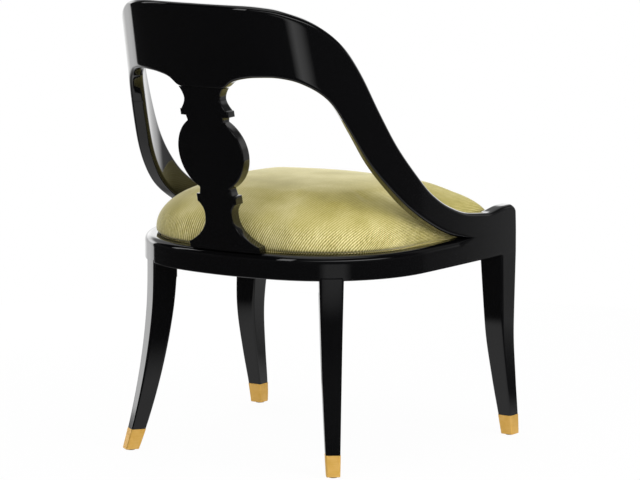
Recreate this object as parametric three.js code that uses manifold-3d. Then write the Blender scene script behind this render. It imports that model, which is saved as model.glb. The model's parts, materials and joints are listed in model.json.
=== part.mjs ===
// Lyre back chair: a horseshoe seat frame on sabre legs with brass shoes, a bent back that falls
// into the arms, a pierced lyre splat and a drop-in velvet seat.
// Millimetres, +Z up, the chair faces -Y and +X is the sitter's left.
import * as THREE from "three";
import { mergeVertices } from "three/addons/utils/BufferGeometryUtils.js";
import Module from "manifold-3d";

const wasm = await Module();
wasm.setup();

const { degToRad, lerp, clamp, smoothstep } = THREE.MathUtils;

// Clearances
const GAP = 0.3; // between pieces that touch
const PIN_CLEARANCE = 0.35; // round a dowel or screw in its hole
const CUSHION_CLEARANCE = 2; // between the upholstered seat and the inside of the rails

// Seat frame: the plan curve of its outer face, from the middle of the back to the front posts.
// A turn is the heading of that curve in degrees, 0 at the middle of the back.
const RAIL_TOP = 380;
const RAIL_HEIGHT = 44;
const RAIL_THICKNESS = 26;
const RAIL_EDGE_ROUND = 2.5;
const BACK_RADIUS = 521;
const BACK_TURN = 11.65; // where the flat back meets the tight corner
const CORNER_RADIUS = 217.5;
const CORNER_TURN = 86.8; // where the corner meets the nearly straight side
const SIDE_RADIUS = 6000;
const SIDE_LENGTH = 297; // to the front face of the post
const FRONT_BOW = 12; // how far the front rail swells forward of the posts

// Back and arms: one bent shell that leans out as it rises
const SHELL_THICKNESS = 26;
const SHELL_EDGE_ROUND = 6;
const BACK_RAKE = 0.238; // lean of the middle of the back, per unit of height
const RAKE_FADE = 0.7; // how fast the lean dies out towards the arms
const CREST_RISE = 440; // top of the crest above the rails
const ARM_RISE = 37.8; // lowest part of the arm above the rails
const ARCH_RISE = 315; // crown of each opening beside the splat
const ARM_JOINT_TURN = 48; // joint between crest and arm
const ARM_LOW = 209; // in front of the corner, where the arm is lowest
const ARM_NOTCH = 157; // in front of the corner, where the arm comes down on the rail
const EAR_RISE = 44;
const EAR_RADIUS = 15;

// Lyre splat: rises are above the rails, widths are half widths
const PLINTH_HALF = 74;
const PLINTH_HEIGHT = 11.5;
const STEM_HALF = 28.5;
const STEM_RISE = 66; // narrowest part of the stem
const LOWER_COLLAR_RISE = 85.5;
const LOWER_COLLAR_HEIGHT = 15;
const LOWER_COLLAR_HALF = 41;
const COLLAR_STEP = 2.5; // how far a collar stands out of the curves beside it
const NECK_HALF = 31;
const ROUNDEL_RADIUS = 68.3;
const ROUNDEL_RISE = 174;
const THROAT_HALF = 36.6;
const UPPER_COLLAR_RISE = 241;
const UPPER_COLLAR_HEIGHT = 11;
const UPPER_COLLAR_HALF = 50;
const CAPITAL_HALF = 37.3;
const CAPITAL_RISE = 272; // narrowest part above the upper collar
const SPLAT_RISE = 292; // joint between splat and crest
const SPLAT_TOP_HALF = 46.5;
const SPLAT_EDGE_ROUND = 3;

// Legs
const LEG_EDGE_ROUND = 2.5;
const LEG_TAPER_POWER = 0.85;
const REAR_LEG_TURN = 37.3; // of the rail over the leg
const REAR_LEG_DEPTH = 45; // radial, under the rail
const REAR_LEG_WIDTH = 43;
const REAR_LEG_RECESS = 1.5; // behind the face of the rail
const REAR_LEG_SPLAY = 51.5; // how far the foot stands outside the top of the leg
const REAR_SABRE_POWER = 1.9;
const TONGUE_DEPTH = 18; // part of the rear leg that rises inside the rail
const POST_WIDTH = 47; // across the chair
const POST_LENGTH = 49; // along the side
const POST_STEP = 0.4; // the leg steps in this much below the post
const POST_EASE = 1.5; // of its front corners
const FRONT_LEG_SWEEP = 28; // how far the front foot stands ahead of its post
const FRONT_LEG_BOW = 6.5; // how far the leg swells backward below the rail
const FRONT_LEG_SWELL = 3.5; // how far it swells sideways at the same height
const FRONT_BOW_HEIGHT = 205;
const FOOT_SIDE = 22.8;

// Brass shoes and the glides under them
const SHOE_HEIGHT = 36;
const SHOE_WALL = 1.5;
const SHOE_FLOOR = 2;
const SHOE_PROUD = 0.5; // outside the leg above it
const GLIDE_HEIGHT = 1.7;
const GLIDE_RADIUS = 7.5;

// Drop-in seat
const BOARD_THICKNESS = 12;
const BOARD_DROP = 2; // its top below the top of the rails
const COVER_THICKNESS = 1.2;
const COVER_HEM = 26; // part of the cover turned under the board
const DUST_THICKNESS = 0.8;
const CUSHION_CROWN = 98; // above the rails
const CUSHION_RIM_RISE = 11; // widest line of the cushion above the rails
const CUSHION_INSET = 27.8; // of the widest line from the face of the rail, by splat and arms
const CUSHION_BULGE = 7.5; // how far it swells over the rail between splat and arms
const CUSHION_WAIST = 32; // inset of the drawn-in line just above the rail
const CUSHION_CORNER = 20;
const CROWN_POWER = 3.2;

// Blocks, screws and dowels
const BLOCK_LIFT = 3; // above the bottom of the rails
const BLOCK_REACH = 42; // of a front block along each rail, past the post
const REAR_BLOCK_SPAN = 66; // to each side of the rear leg
const REAR_BLOCK_DEPTH = 20; // at its two ends
const SCREW_RADIUS = 2;
const SCREW_HEAD_RADIUS = 4.2;
const SCREW_HEAD_HEIGHT = 2.4;
const POST_SCREW_LENGTH = 34;
const TONGUE_SCREW_LENGTH = 24;
const SEAT_SCREW_BITE = 8; // into the seat board
const DOWEL_RADIUS = 4;
const DOWEL_LENGTH = 32;

// Numbers of steps along the curves
const CREST_STEPS = 20;
const ARM_STEPS = 30;
const RAIL_STEPS = 28;
const LEG_STEPS = 9;
const ROUND_SIDES = 10;

// Arc lengths along the plan curve
const BACK_ARC = BACK_RADIUS * degToRad(BACK_TURN);
const CORNER_ARC = CORNER_RADIUS * degToRad(CORNER_TURN - BACK_TURN);
const SIDE_START = BACK_ARC + CORNER_ARC;
const FRAME_END = SIDE_START + SIDE_LENGTH;
const POST_START = FRAME_END - POST_LENGTH;

// Heights and insets that several pieces share
const RAIL_BOTTOM = RAIL_TOP - RAIL_HEIGHT;
const RAIL_MIDDLE = RAIL_TOP - RAIL_HEIGHT / 2;
const SHOE_BOTTOM = GLIDE_HEIGHT + GAP;
const SHOE_TOP = SHOE_BOTTOM + SHOE_HEIGHT;
const BOARD_TOP = RAIL_TOP - BOARD_DROP;
const BOARD_BOTTOM = BOARD_TOP - BOARD_THICKNESS;
const SEAT_REST = BOARD_BOTTOM - COVER_THICKNESS - 2 * GAP;
const BLOCK_BOTTOM = RAIL_BOTTOM + BLOCK_LIFT;
const BLOCK_HEIGHT = SEAT_REST - BLOCK_BOTTOM;
const BLOCK_MIDDLE = BLOCK_BOTTOM + BLOCK_HEIGHT / 2;
const BEHIND_RAIL = RAIL_THICKNESS + GAP;
const COVER_INSET = RAIL_THICKNESS + CUSHION_CLEARANCE;
const BOARD_INSET = COVER_INSET + COVER_THICKNESS + GAP;
const MID_SHELL = SHELL_THICKNESS / 2;
const MID_RAIL = RAIL_THICKNESS / 2;

const MATERIALS = {
  lacquer: { color: 0x0b0a0b, roughness: 0.12, metalness: 0 },
  brass: { color: 0xd8ab52, roughness: 0.3, metalness: 1 },
  velvet: { color: 0xb5ad5e, roughness: 0.9, metalness: 0 },
  beech: { color: 0xc69a6b, roughness: 0.7, metalness: 0 },
  plywood: { color: 0xcaa97a, roughness: 0.75, metalness: 0 },
  foam: { color: 0xefe2b0, roughness: 1, metalness: 0 },
  cambric: { color: 0x1d1d1f, roughness: 0.95, metalness: 0 },
  nylon: { color: 0x2b2b2b, roughness: 0.5, metalness: 0 },
  steel: { color: 0xb9bbbd, roughness: 0.35, metalness: 1 },
};

// Curves

// Station (arc length from the middle of the back) at a turn, or at a distance past the corner
function turned(degrees) {
  const corner = clamp(degrees, BACK_TURN, CORNER_TURN) - BACK_TURN;
  return BACK_RADIUS * degToRad(Math.min(degrees, BACK_TURN)) + CORNER_RADIUS * degToRad(corner);
}

function alongSide(distance) {
  return SIDE_START + distance;
}

const REAR_LEG_STATION = turned(REAR_LEG_TURN);
const ARM_JOINT = turned(ARM_JOINT_TURN);
const NOTCH = alongSide(ARM_NOTCH);

// Top line of crest and arm: share of the fall from the crest to the arm
const TOP_LINE = [
  [0, 0], [turned(11), 0.002], [turned(23), 0.013], [turned(31), 0.035], [turned(39), 0.07],
  [turned(46), 0.12], [turned(52), 0.185], [turned(58.4), 0.304], [turned(65), 0.464],
  [turned(74), 0.637], [turned(85.6), 0.777], [alongSide(32), 0.859], [alongSide(83), 0.931],
  [alongSide(145), 0.981], [alongSide(ARM_LOW), 1],
];

// Lower line of crest and arm beside the splat: share of the rise of the opening
const ARCH_LINE = [
  [turned(6.9), 0.966], [turned(9.1), 0.985], [turned(12), 0.997], [turned(19.8), 1],
  [turned(28), 0.986], [turned(36), 0.943], [turned(43.6), 0.865], [turned(50.8), 0.698],
  [turned(58.5), 0.508], [turned(67.5), 0.364], [turned(78.3), 0.238], [alongSide(21), 0.134],
  [alongSide(81), 0.05], [alongSide(119), 0.017], [NOTCH, 0],
];

// Smooth line through points that never overshoots them (monotone cubic)
function smoothLine(points) {
  const slopes = points.slice(1).map(([x, y], i) => (y - points[i][1]) / (x - points[i][0]));
  const tangents = points.map((_, i) => {
    const before = slopes[Math.max(i - 1, 0)];
    const after = slopes[Math.min(i, slopes.length - 1)];
    return before * after > 0 ? (2 * before * after) / (before + after) : 0;
  });
  return (x) => {
    const found = points.findIndex(([end], i) => i > 0 && x <= end);
    const i = found < 0 ? points.length - 2 : found - 1;
    const [[x0, y0], [x1, y1]] = [points[i], points[i + 1]];
    const span = x1 - x0;
    const t = clamp((x - x0) / span, 0, 1);
    return y0 * (1 + 2 * t) * (1 - t) ** 2 + tangents[i] * span * t * (1 - t) ** 2
      + y1 * t * t * (3 - 2 * t) - tangents[i + 1] * span * t * t * (1 - t);
  };
}

// Evenly spaced numbers, both ends included
function steps(from, to, count) {
  return Array.from({ length: count + 1 }, (_, i) => lerp(from, to, i / count));
}

// Plan curve: flat back arc, tight corner arc and long side arc, tangent to each other
function plan(station) {
  const length = Math.abs(station);
  const corner0 = degToRad(BACK_TURN);
  const side0 = degToRad(CORNER_TURN);
  const back = Math.min(length, BACK_ARC) / BACK_RADIUS;
  const corner = corner0 + clamp(length - BACK_ARC, 0, CORNER_ARC) / CORNER_RADIUS;
  const side = side0 + Math.max(length - SIDE_START, 0) / SIDE_RADIUS;
  const hand = station < 0 ? -1 : 1;
  const x = BACK_RADIUS * Math.sin(back)
    + CORNER_RADIUS * (Math.sin(corner) - Math.sin(corner0))
    + SIDE_RADIUS * (Math.sin(side) - Math.sin(side0));
  const y = BACK_RADIUS * (Math.cos(back) - 1)
    + CORNER_RADIUS * (Math.cos(corner) - Math.cos(corner0))
    + SIDE_RADIUS * (Math.cos(side) - Math.cos(side0));
  return { x: hand * x, y, heading: hand * (back + corner - corner0 + side - side0) };
}

// Point at a station, a height and a depth behind the outer face, which leans above the rails
function shellPoint(station, height, depth) {
  const { x, y, heading } = plan(station);
  const rake = BACK_RAKE * Math.cos(RAKE_FADE * heading) ** 2;
  const lean = rake * Math.max(height - RAIL_TOP, 0);
  return new THREE.Vector3(
    x - depth * Math.sin(heading),
    y - depth * Math.cos(heading) + lean,
    height,
  );
}

// Point beside a station: outward, forward along the side, and a height. It doesn't lean.
function besidePoint(station, outward, forward, height) {
  const { x, y, heading } = plan(station);
  return new THREE.Vector3(
    x + outward * Math.sin(heading) + forward * Math.cos(heading),
    y + outward * Math.cos(heading) - forward * Math.sin(heading),
    height,
  );
}

const atHeight = (ring, height) => ring.map((p) => p.clone().setZ(height));

// Meshes and solids

// Welded copy with positions only and without collapsed triangles
function bare(geometry) {
  const copy = geometry.clone();
  copy.deleteAttribute("normal");
  copy.deleteAttribute("uv");
  const merged = mergeVertices(copy, 1e-4);
  const index = Array.from(merged.getIndex().array);
  const kept = [];
  for (let i = 0; i < index.length; i += 3) {
    const [a, b, c] = index.slice(i, i + 3);
    if (a !== b && b !== c && c !== a) kept.push(a, b, c);
  }
  merged.setIndex(kept);
  return merged;
}

// Turns the triangles of a closed skin outward
function facingOut(geometry) {
  const position = geometry.getAttribute("position");
  const index = Array.from(geometry.getIndex().array);
  const corner = (i) => new THREE.Vector3().fromBufferAttribute(position, index[i]);
  let volume = 0;
  for (let i = 0; i < index.length; i += 3) {
    volume += corner(i).dot(corner(i + 1).cross(corner(i + 2)));
  }
  geometry.setIndex(volume < 0 ? index.reverse() : index);
  geometry.computeVertexNormals();
  return geometry;
}

// Triangles that close a nearly flat ring
function capTriangles(ring) {
  const normal = new THREE.Vector3();
  ring.forEach((p, i) => normal.add(p.clone().cross(ring[(i + 1) % ring.length])));
  normal.normalize();
  const across = new THREE.Vector3(0, 0, 1).cross(normal);
  if (across.length() < 0.1) across.set(1, 0, 0);
  across.normalize();
  const up = normal.clone().cross(across);
  return THREE.ShapeUtils.triangulateShape(
    ring.map((p) => new THREE.Vector2(p.dot(across), p.dot(up))),
    [],
  );
}

// Closed skin through rings with the same number of points, capped at both ends
function loft(rings) {
  const count = rings[0].length;
  const last = (rings.length - 1) * count;
  const index = [];
  for (let r = 0; r < rings.length - 1; r += 1) {
    for (let i = 0; i < count; i += 1) {
      const a = r * count + i;
      const b = r * count + ((i + 1) % count);
      index.push(a, b, b + count, a, b + count, a + count);
    }
  }
  capTriangles(rings[0]).forEach(([a, b, c]) => index.push(a, c, b));
  capTriangles(rings[rings.length - 1]).forEach((cap) => index.push(...cap.map((i) => i + last)));
  const geometry = new THREE.BufferGeometry().setFromPoints(rings.flat());
  geometry.setIndex(index);
  return facingOut(geometry);
}

// Plate with vertical sides
function plate(outline, bottom, thickness) {
  return loft([atHeight(outline, bottom), atHeight(outline, bottom + thickness)]);
}

function toSolid(geometry) {
  const merged = bare(geometry);
  return new wasm.Manifold(new wasm.Mesh({
    numProp: 3,
    vertProperties: new Float32Array(merged.getAttribute("position").array),
    triVerts: new Uint32Array(merged.getIndex().array),
  }));
}

function toGeometry(solid) {
  const mesh = solid.getMesh();
  const geometry = new THREE.BufferGeometry();
  geometry.setAttribute("position", new THREE.Float32BufferAttribute(mesh.vertProperties, 3));
  geometry.setIndex(Array.from(mesh.triVerts));
  geometry.computeVertexNormals();
  return geometry;
}

function joined(first, ...others) {
  return toGeometry(others.reduce((sum, other) => sum.add(toSolid(other)), toSolid(first)));
}

function cut(first, ...tools) {
  return toGeometry(tools.reduce((rest, tool) => rest.subtract(toSolid(tool)), toSolid(first)));
}

// The same piece on the other side of the chair
function mirrored(geometry) {
  const copy = bare(geometry);
  copy.scale(-1, 1, 1);
  return facingOut(copy);
}

// Bent bars: crest, arms, rails and posts

// Section as [depth, height] points with three points round each of its four edges
function barSection(thickness, bottom, top, low, high) {
  const rising = [0, Math.PI / 4, Math.PI / 2];
  const falling = [...rising].reverse();
  const deep = (angle, round) => round.deep * (1 - Math.sin(angle));
  const tall = (angle, round) => round.tall * (1 - Math.cos(angle));
  return [
    ...rising.map((a) => [thickness - deep(a, low), bottom + tall(a, low)]),
    ...falling.map((a) => [thickness - deep(a, high), top - tall(a, high)]),
    ...rising.map((a) => [deep(a, high), top - tall(a, high)]),
    ...falling.map((a) => [deep(a, low), bottom + tall(a, low)]),
  ];
}

const evenRound = (radius) => ({ deep: radius, tall: radius });

function bentBar(stations, section) {
  return loft(stations.map((s) => section(s).map(([depth, z]) => shellPoint(s, z, depth))));
}

const fallLine = smoothLine(TOP_LINE);
const archLine = smoothLine([
  [SPLAT_TOP_HALF, SPLAT_RISE],
  ...ARCH_LINE.map(([station, share]) => [station, share * ARCH_RISE]),
]);

// Height of the top edge. Over the post it swells into the ear and rounds down at its front.
function topHeight(station) {
  const length = Math.abs(station);
  const arm = CREST_RISE - fallLine(length) * (CREST_RISE - ARM_RISE);
  const swell = smoothstep(length, alongSide(ARM_LOW), POST_START + POST_LENGTH / 3);
  const front = clamp(length - (FRAME_END - EAR_RADIUS), 0, EAR_RADIUS);
  const drop = EAR_RADIUS - Math.sqrt(EAR_RADIUS ** 2 - front ** 2);
  return RAIL_TOP + arm + swell * (EAR_RISE - ARM_RISE) - drop;
}

function archHeight(station) {
  const length = Math.abs(station);
  const rise = length > SPLAT_TOP_HALF ? archLine(length) : SPLAT_RISE;
  return RAIL_TOP + Math.max(rise, GAP);
}

// Rounding of an edge that climbs: it gets taller with the slope so that it stays round
function edgeRound(line, station, radius, height) {
  const slope = (line(station + 1) - line(station - 1)) / 2;
  return { deep: radius, tall: Math.min(radius * Math.hypot(1, slope), height / 3) };
}

// Radius of the lower edges: small where the shell stands on the splat, none on the rail
function lowerRadius(station) {
  const length = Math.abs(station);
  const away = smoothstep(length, SPLAT_TOP_HALF, turned(9));
  const lift = smoothstep(NOTCH - length, 0, RAIL_HEIGHT);
  return Math.max(lerp(SPLAT_EDGE_ROUND, SHELL_EDGE_ROUND, away) * lift, GAP);
}

function shellSection(station) {
  const bottom = archHeight(station);
  const top = topHeight(station);
  return barSection(
    SHELL_THICKNESS,
    bottom,
    top,
    edgeRound(archHeight, station, lowerRadius(station), top - bottom),
    edgeRound(topHeight, station, SHELL_EDGE_ROUND, top - bottom),
  );
}

function crestRail() {
  const half = [
    ...steps(0, SPLAT_TOP_HALF, 3).slice(0, -1),
    ...steps(SPLAT_TOP_HALF, ARM_JOINT, CREST_STEPS),
  ];
  const stations = [...half.slice(1).map((s) => -s).reverse(), ...half];
  return bentBar(stations, shellSection);
}

function arm() {
  const stations = [
    ...steps(ARM_JOINT + GAP, NOTCH, ARM_STEPS).slice(0, -1),
    ...steps(NOTCH, POST_START - GAP, 4),
  ];
  return bentBar(stations, shellSection);
}

// The upper edges of a rail are square where the arm stands on them
function railSection(station) {
  const free = clamp((NOTCH - Math.abs(station)) / RAIL_HEIGHT, 0, 1);
  return barSection(
    RAIL_THICKNESS,
    RAIL_BOTTOM,
    RAIL_TOP,
    evenRound(RAIL_EDGE_ROUND),
    evenRound(Math.max(RAIL_EDGE_ROUND * free, GAP)),
  );
}

function backRail() {
  return bentBar(steps(-REAR_LEG_STATION, REAR_LEG_STATION, RAIL_STEPS), railSection);
}

function sideRail() {
  return bentBar(steps(REAR_LEG_STATION + GAP, POST_START - GAP, RAIL_STEPS), railSection);
}

// Front rail: bowed forward between the posts. share runs from -1 to 1 across it.
function frontRailPoint(share, inward, height) {
  const end = besidePoint(FRAME_END, -POST_WIDTH - GAP, 0, height);
  const bow = FRONT_BOW * (1 - share * share);
  return new THREE.Vector3(share * end.x, end.y - bow + inward, height);
}

function frontRail() {
  const round = evenRound(RAIL_EDGE_ROUND);
  const section = barSection(RAIL_THICKNESS, RAIL_BOTTOM, RAIL_TOP, round, round);
  return loft(steps(-1, 1, 10).map((share) => (
    section.map(([inward, height]) => frontRailPoint(share, inward, height))
  )));
}

// Lyre splat

// Half widths from the rail up, as [rise, half width]
function splatProfile() {
  const lowerTop = LOWER_COLLAR_RISE + LOWER_COLLAR_HEIGHT;
  const upperTop = UPPER_COLLAR_RISE + UPPER_COLLAR_HEIGHT;
  const low = Math.asin(NECK_HALF / ROUNDEL_RADIUS);
  const high = Math.PI - Math.asin(THROAT_HALF / ROUNDEL_RADIUS);
  // A cove narrows fast and then slowly, a flare widens slowly and then fast
  const cove = (from, to, power, count) => steps(0, 1, count).map((t) => [
    lerp(from[0], to[0], t),
    lerp(to[1], from[1], (1 - t) ** power),
  ]);
  const flare = (from, to, power, count) => steps(0, 1, count).slice(1).map((t) => [
    lerp(from[0], to[0], t),
    lerp(from[1], to[1], t ** power),
  ]);
  const stem = [STEM_RISE, STEM_HALF];
  const capital = [CAPITAL_RISE, CAPITAL_HALF];
  return [
    [GAP, PLINTH_HALF],
    [PLINTH_HEIGHT, PLINTH_HALF],
    ...cove([PLINTH_HEIGHT, PLINTH_HALF - COLLAR_STEP], stem, 2.5, 8),
    ...flare(stem, [LOWER_COLLAR_RISE, LOWER_COLLAR_HALF - COLLAR_STEP], 2, 5),
    [LOWER_COLLAR_RISE, LOWER_COLLAR_HALF],
    [lowerTop, LOWER_COLLAR_HALF],
    [lowerTop, NECK_HALF + COLLAR_STEP],
    ...steps(low, high, 16).map((angle) => [
      ROUNDEL_RISE - ROUNDEL_RADIUS * Math.cos(angle),
      ROUNDEL_RADIUS * Math.sin(angle),
    ]),
    [UPPER_COLLAR_RISE, THROAT_HALF + COLLAR_STEP],
    [UPPER_COLLAR_RISE, UPPER_COLLAR_HALF],
    [upperTop, UPPER_COLLAR_HALF],
    ...cove([upperTop, UPPER_COLLAR_HALF - COLLAR_STEP], capital, 1.7, 5),
    ...flare(capital, [SPLAT_RISE - GAP, SPLAT_TOP_HALF], 1.7, 5),
  ];
}

function splat() {
  const far = SHELL_THICKNESS;
  const round = SPLAT_EDGE_ROUND;
  return loft(splatProfile().map(([rise, half]) => {
    const outline = [
      [-half + round, 0], [-half / 3, 0], [half / 3, 0], [half - round, 0],
      [half, round], [half, far - round],
      [half - round, far], [half / 3, far], [-half / 3, far], [-half + round, far],
      [-half, far - round], [-half, round],
    ];
    return outline.map(([station, depth]) => shellPoint(station, RAIL_TOP + rise, depth));
  }));
}

// Legs

const frontSweep = smoothLine([
  [0, FRONT_LEG_SWEEP],
  [SHOE_TOP, FRONT_LEG_SWEEP * 0.78],
  [FRONT_BOW_HEIGHT / 2, FRONT_LEG_SWEEP * 0.29],
  [FRONT_BOW_HEIGHT, -FRONT_LEG_BOW],
  [RAIL_BOTTOM, 0],
]);

const frontSwell = smoothLine([
  [0, -FRONT_LEG_SWELL * 0.4],
  [FRONT_BOW_HEIGHT, FRONT_LEG_SWELL],
  [RAIL_BOTTOM, 0],
]);

const REAR_LEG = {
  station: REAR_LEG_STATION,
  halfDeep: REAR_LEG_DEPTH / 2,
  halfWide: REAR_LEG_WIDTH / 2,
  face: (height) => -REAR_LEG_RECESS
    + REAR_LEG_SPLAY * (1 - height / RAIL_BOTTOM) ** REAR_SABRE_POWER,
  forward: () => 0,
};

const FRONT_LEG = {
  station: FRAME_END - POST_LENGTH / 2,
  halfDeep: POST_WIDTH / 2 - POST_STEP,
  halfWide: POST_LENGTH / 2 - POST_STEP,
  face: (height) => -POST_STEP + frontSwell(height),
  forward: frontSweep,
};

// Square section of a leg at a height, made smaller all round by an inset
function legRing(leg, height, inset) {
  const level = Math.min(height, RAIL_BOTTOM);
  const share = (level / RAIL_BOTTOM) ** LEG_TAPER_POWER;
  const deep = lerp(FOOT_SIDE / 2, leg.halfDeep, share);
  const wide = lerp(FOOT_SIDE / 2, leg.halfWide, share);
  const [a, b, r] = [deep - inset, wide - inset, LEG_EDGE_ROUND];
  const corners = [
    [a - r, b], [a, b - r], [a, -b + r], [a - r, -b],
    [-a + r, -b], [-a, -b + r], [-a, b - r], [-a + r, b],
  ];
  return corners.map(([u, v]) => (
    besidePoint(leg.station, leg.face(level) - deep + u, leg.forward(level) + v, height)
  ));
}

// Sabre leg from its tip inside the shoe up to the frame
function sabreLeg(leg, top) {
  const tip = SHOE_WALL + GAP - SHOE_PROUD;
  return loft([
    legRing(leg, SHOE_BOTTOM + SHOE_FLOOR + GAP, tip),
    legRing(leg, SHOE_TOP + GAP, tip),
    ...steps(SHOE_TOP + GAP, top, LEG_STEPS).map((height) => legRing(leg, height, 0)),
  ]);
}

function shoe(leg) {
  return loft([
    legRing(leg, SHOE_BOTTOM, -SHOE_PROUD),
    legRing(leg, SHOE_TOP, -SHOE_PROUD),
    legRing(leg, SHOE_TOP, SHOE_WALL - SHOE_PROUD),
    legRing(leg, SHOE_BOTTOM + SHOE_FLOOR, SHOE_WALL - SHOE_PROUD),
  ]);
}

function glide(leg) {
  const ring = legRing(leg, SHOE_BOTTOM, 0);
  const centre = ring.reduce((sum, p) => sum.add(p), new THREE.Vector3());
  const foot = centre.divideScalar(ring.length).setZ(0);
  return pin(foot, foot.clone().setZ(GLIDE_HEIGHT), GLIDE_RADIUS, 2 * ROUND_SIDES);
}

// Upright block over the rear leg with the given outer face, grown by a clearance
function tongue(face, clearance, bottom, top) {
  const half = REAR_LEG_WIDTH / 2 - LEG_EDGE_ROUND + clearance;
  const deep = BEHIND_RAIL + TONGUE_DEPTH + clearance;
  const outline = [[-face, -half], [-face, half], [-deep, half], [-deep, -half]];
  return loft([bottom, top].map((height) => outline.map(([outward, forward]) => (
    besidePoint(REAR_LEG_STATION, outward, forward, height)
  ))));
}

// The tongue stands behind the rail, whose inner face curves round it
function rearLeg() {
  const bend = CORNER_RADIUS - BEHIND_RAIL;
  const sagitta = bend - Math.sqrt(bend ** 2 - (REAR_LEG_WIDTH / 2) ** 2);
  const root = tongue(BEHIND_RAIL + sagitta, 0, RAIL_BOTTOM - RAIL_THICKNESS, SEAT_REST);
  return joined(sabreLeg(REAR_LEG, RAIL_BOTTOM - GAP), root);
}

// Front leg, post and ear in one: the outer part of the post rises into the ear, the inner part
// stops under the seat, and a cheek closes the frame beside the front rail
function frontLeg() {
  const frontStart = FRAME_END - EAR_RADIUS;
  const stations = [
    ...steps(POST_START, frontStart, 4),
    ...[0.35, 0.65, 0.87, 0.98].map((share) => frontStart + share * EAR_RADIUS),
    FRAME_END,
  ];
  const ease = (station) => (station === FRAME_END ? POST_EASE : 0);
  const post = bentBar(stations, (station) => {
    const [near, far] = [ease(station), POST_WIDTH - ease(station)];
    const inner = SHELL_THICKNESS - near;
    return [
      [near, RAIL_BOTTOM], [far, RAIL_BOTTOM], [far, SEAT_REST],
      [inner, SEAT_REST], [inner, RAIL_TOP], [near, RAIL_TOP],
    ];
  });
  const ear = bentBar(stations, (station) => {
    const top = topHeight(station);
    const near = ease(station);
    const far = SHELL_THICKNESS - near;
    const line = Math.min(station, frontStart);
    const { deep, tall } = edgeRound(topHeight, line, SHELL_EDGE_ROUND, ARM_RISE);
    return [
      [far, RAIL_TOP], [far, top - tall], [far - deep * 0.3, top - tall * 0.3], [far - deep, top],
      [near + deep, top], [near + deep * 0.3, top - tall * 0.3], [near, top - tall],
      [near, RAIL_TOP],
    ];
  });
  const cheek = bentBar([FRAME_END - RAIL_THICKNESS, FRAME_END - 2 * GAP], () => [
    [MID_SHELL, RAIL_BOTTOM + GAP], [POST_WIDTH - GAP, RAIL_BOTTOM + GAP],
    [POST_WIDTH - GAP, RAIL_TOP], [MID_SHELL, RAIL_TOP],
  ]);
  return joined(post, ear, sabreLeg(FRONT_LEG, RAIL_BOTTOM + RAIL_EDGE_ROUND), cheek);
}

// Drop-in seat

// Outline inside the frame on one level. insetAt gives its distance from the outer face of the
// rails along them; its front edge follows the bow of the front rail.
function seatOutline(insetAt, corner) {
  const last = FRAME_END - insetAt(FRAME_END) - corner;
  const side = steps(0, last, 13).map((s) => besidePoint(s, -insetAt(s), 0, 0));
  const edge = side[side.length - 1];
  const round = [30, 60, 90].map(degToRad).map((angle) => new THREE.Vector3(
    edge.x - corner * (1 - Math.cos(angle)),
    edge.y - corner * Math.sin(angle),
    0,
  ));
  const end = round[round.length - 1];
  const front = [0.7, 0.35, 0].map((share) => new THREE.Vector3(
    share * end.x,
    end.y - FRONT_BOW * (1 - share * share),
    0,
  ));
  const left = [...side, ...round, ...front];
  const right = left.slice(1, -1).reverse().map((p) => new THREE.Vector3(-p.x, p.y, p.z));
  return [...left, ...right];
}

const bulgeLine = smoothLine([
  [PLINTH_HALF, 0], [turned(18), 1], [turned(70), 1], [alongSide(30), 0],
]);

// Rings of the cushion from its waist over its widest line to the crown, less a skin
function cushionRings(skin) {
  const waist = seatOutline(() => CUSHION_WAIST + skin, CUSHION_CORNER);
  const rim = seatOutline(
    (station) => CUSHION_INSET + skin - CUSHION_BULGE * bulgeLine(station),
    CUSHION_CORNER,
  );
  const middle = new THREE.Vector3(0, (rim[0].y + rim[rim.length / 2].y) / 2, 0);
  const rimHeight = RAIL_TOP + CUSHION_RIM_RISE;
  const crown = RAIL_TOP + CUSHION_CROWN - skin;
  const domed = [0.985, 0.95, 0.88, 0.76, 0.58, 0.36, 0.14].map((share) => {
    const height = lerp(rimHeight, crown, Math.sqrt(1 - share ** CROWN_POWER));
    return rim.map((p) => middle.clone().lerp(p, share).setZ(height));
  });
  const flank = rim.map((p, i) => p.clone().lerp(waist[i], 0.25));
  return [
    atHeight(waist, RAIL_TOP + BOARD_DROP),
    atHeight(flank, RAIL_TOP + CUSHION_RIM_RISE / 2),
    atHeight(rim, rimHeight),
    ...domed,
  ];
}

// Velvet cover: over the crown, down inside the rails and under the edge of the board
function seatCover() {
  const thickness = COVER_THICKNESS;
  const under = BOARD_BOTTOM - GAP;
  const side = seatOutline(() => COVER_INSET, CUSHION_CORNER);
  const lining = seatOutline(() => COVER_INSET + thickness, CUSHION_CORNER);
  const hem = seatOutline(() => COVER_INSET + COVER_HEM, CUSHION_CORNER);
  return loft([
    ...cushionRings(thickness).reverse(),
    atHeight(lining, BOARD_TOP),
    atHeight(lining, under),
    atHeight(hem, under),
    atHeight(hem, under - thickness),
    atHeight(side, under - thickness),
    atHeight(side, BOARD_TOP),
    ...cushionRings(0),
  ]);
}

function seatFoam() {
  const base = seatOutline(() => BOARD_INSET + GAP, CUSHION_CORNER);
  const rings = cushionRings(COVER_THICKNESS + 2 * GAP).reverse();
  return loft([...rings, atHeight(base, BOARD_TOP + GAP)]);
}

function seatBoard() {
  return plate(seatOutline(() => BOARD_INSET, CUSHION_CORNER), BOARD_BOTTOM, BOARD_THICKNESS);
}

function dustCover() {
  const outline = seatOutline(() => COVER_INSET + COVER_HEM + CUSHION_CLEARANCE, CUSHION_CORNER);
  return plate(outline, BOARD_BOTTOM - GAP - DUST_THICKNESS, DUST_THICKNESS);
}

// Corner blocks

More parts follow.
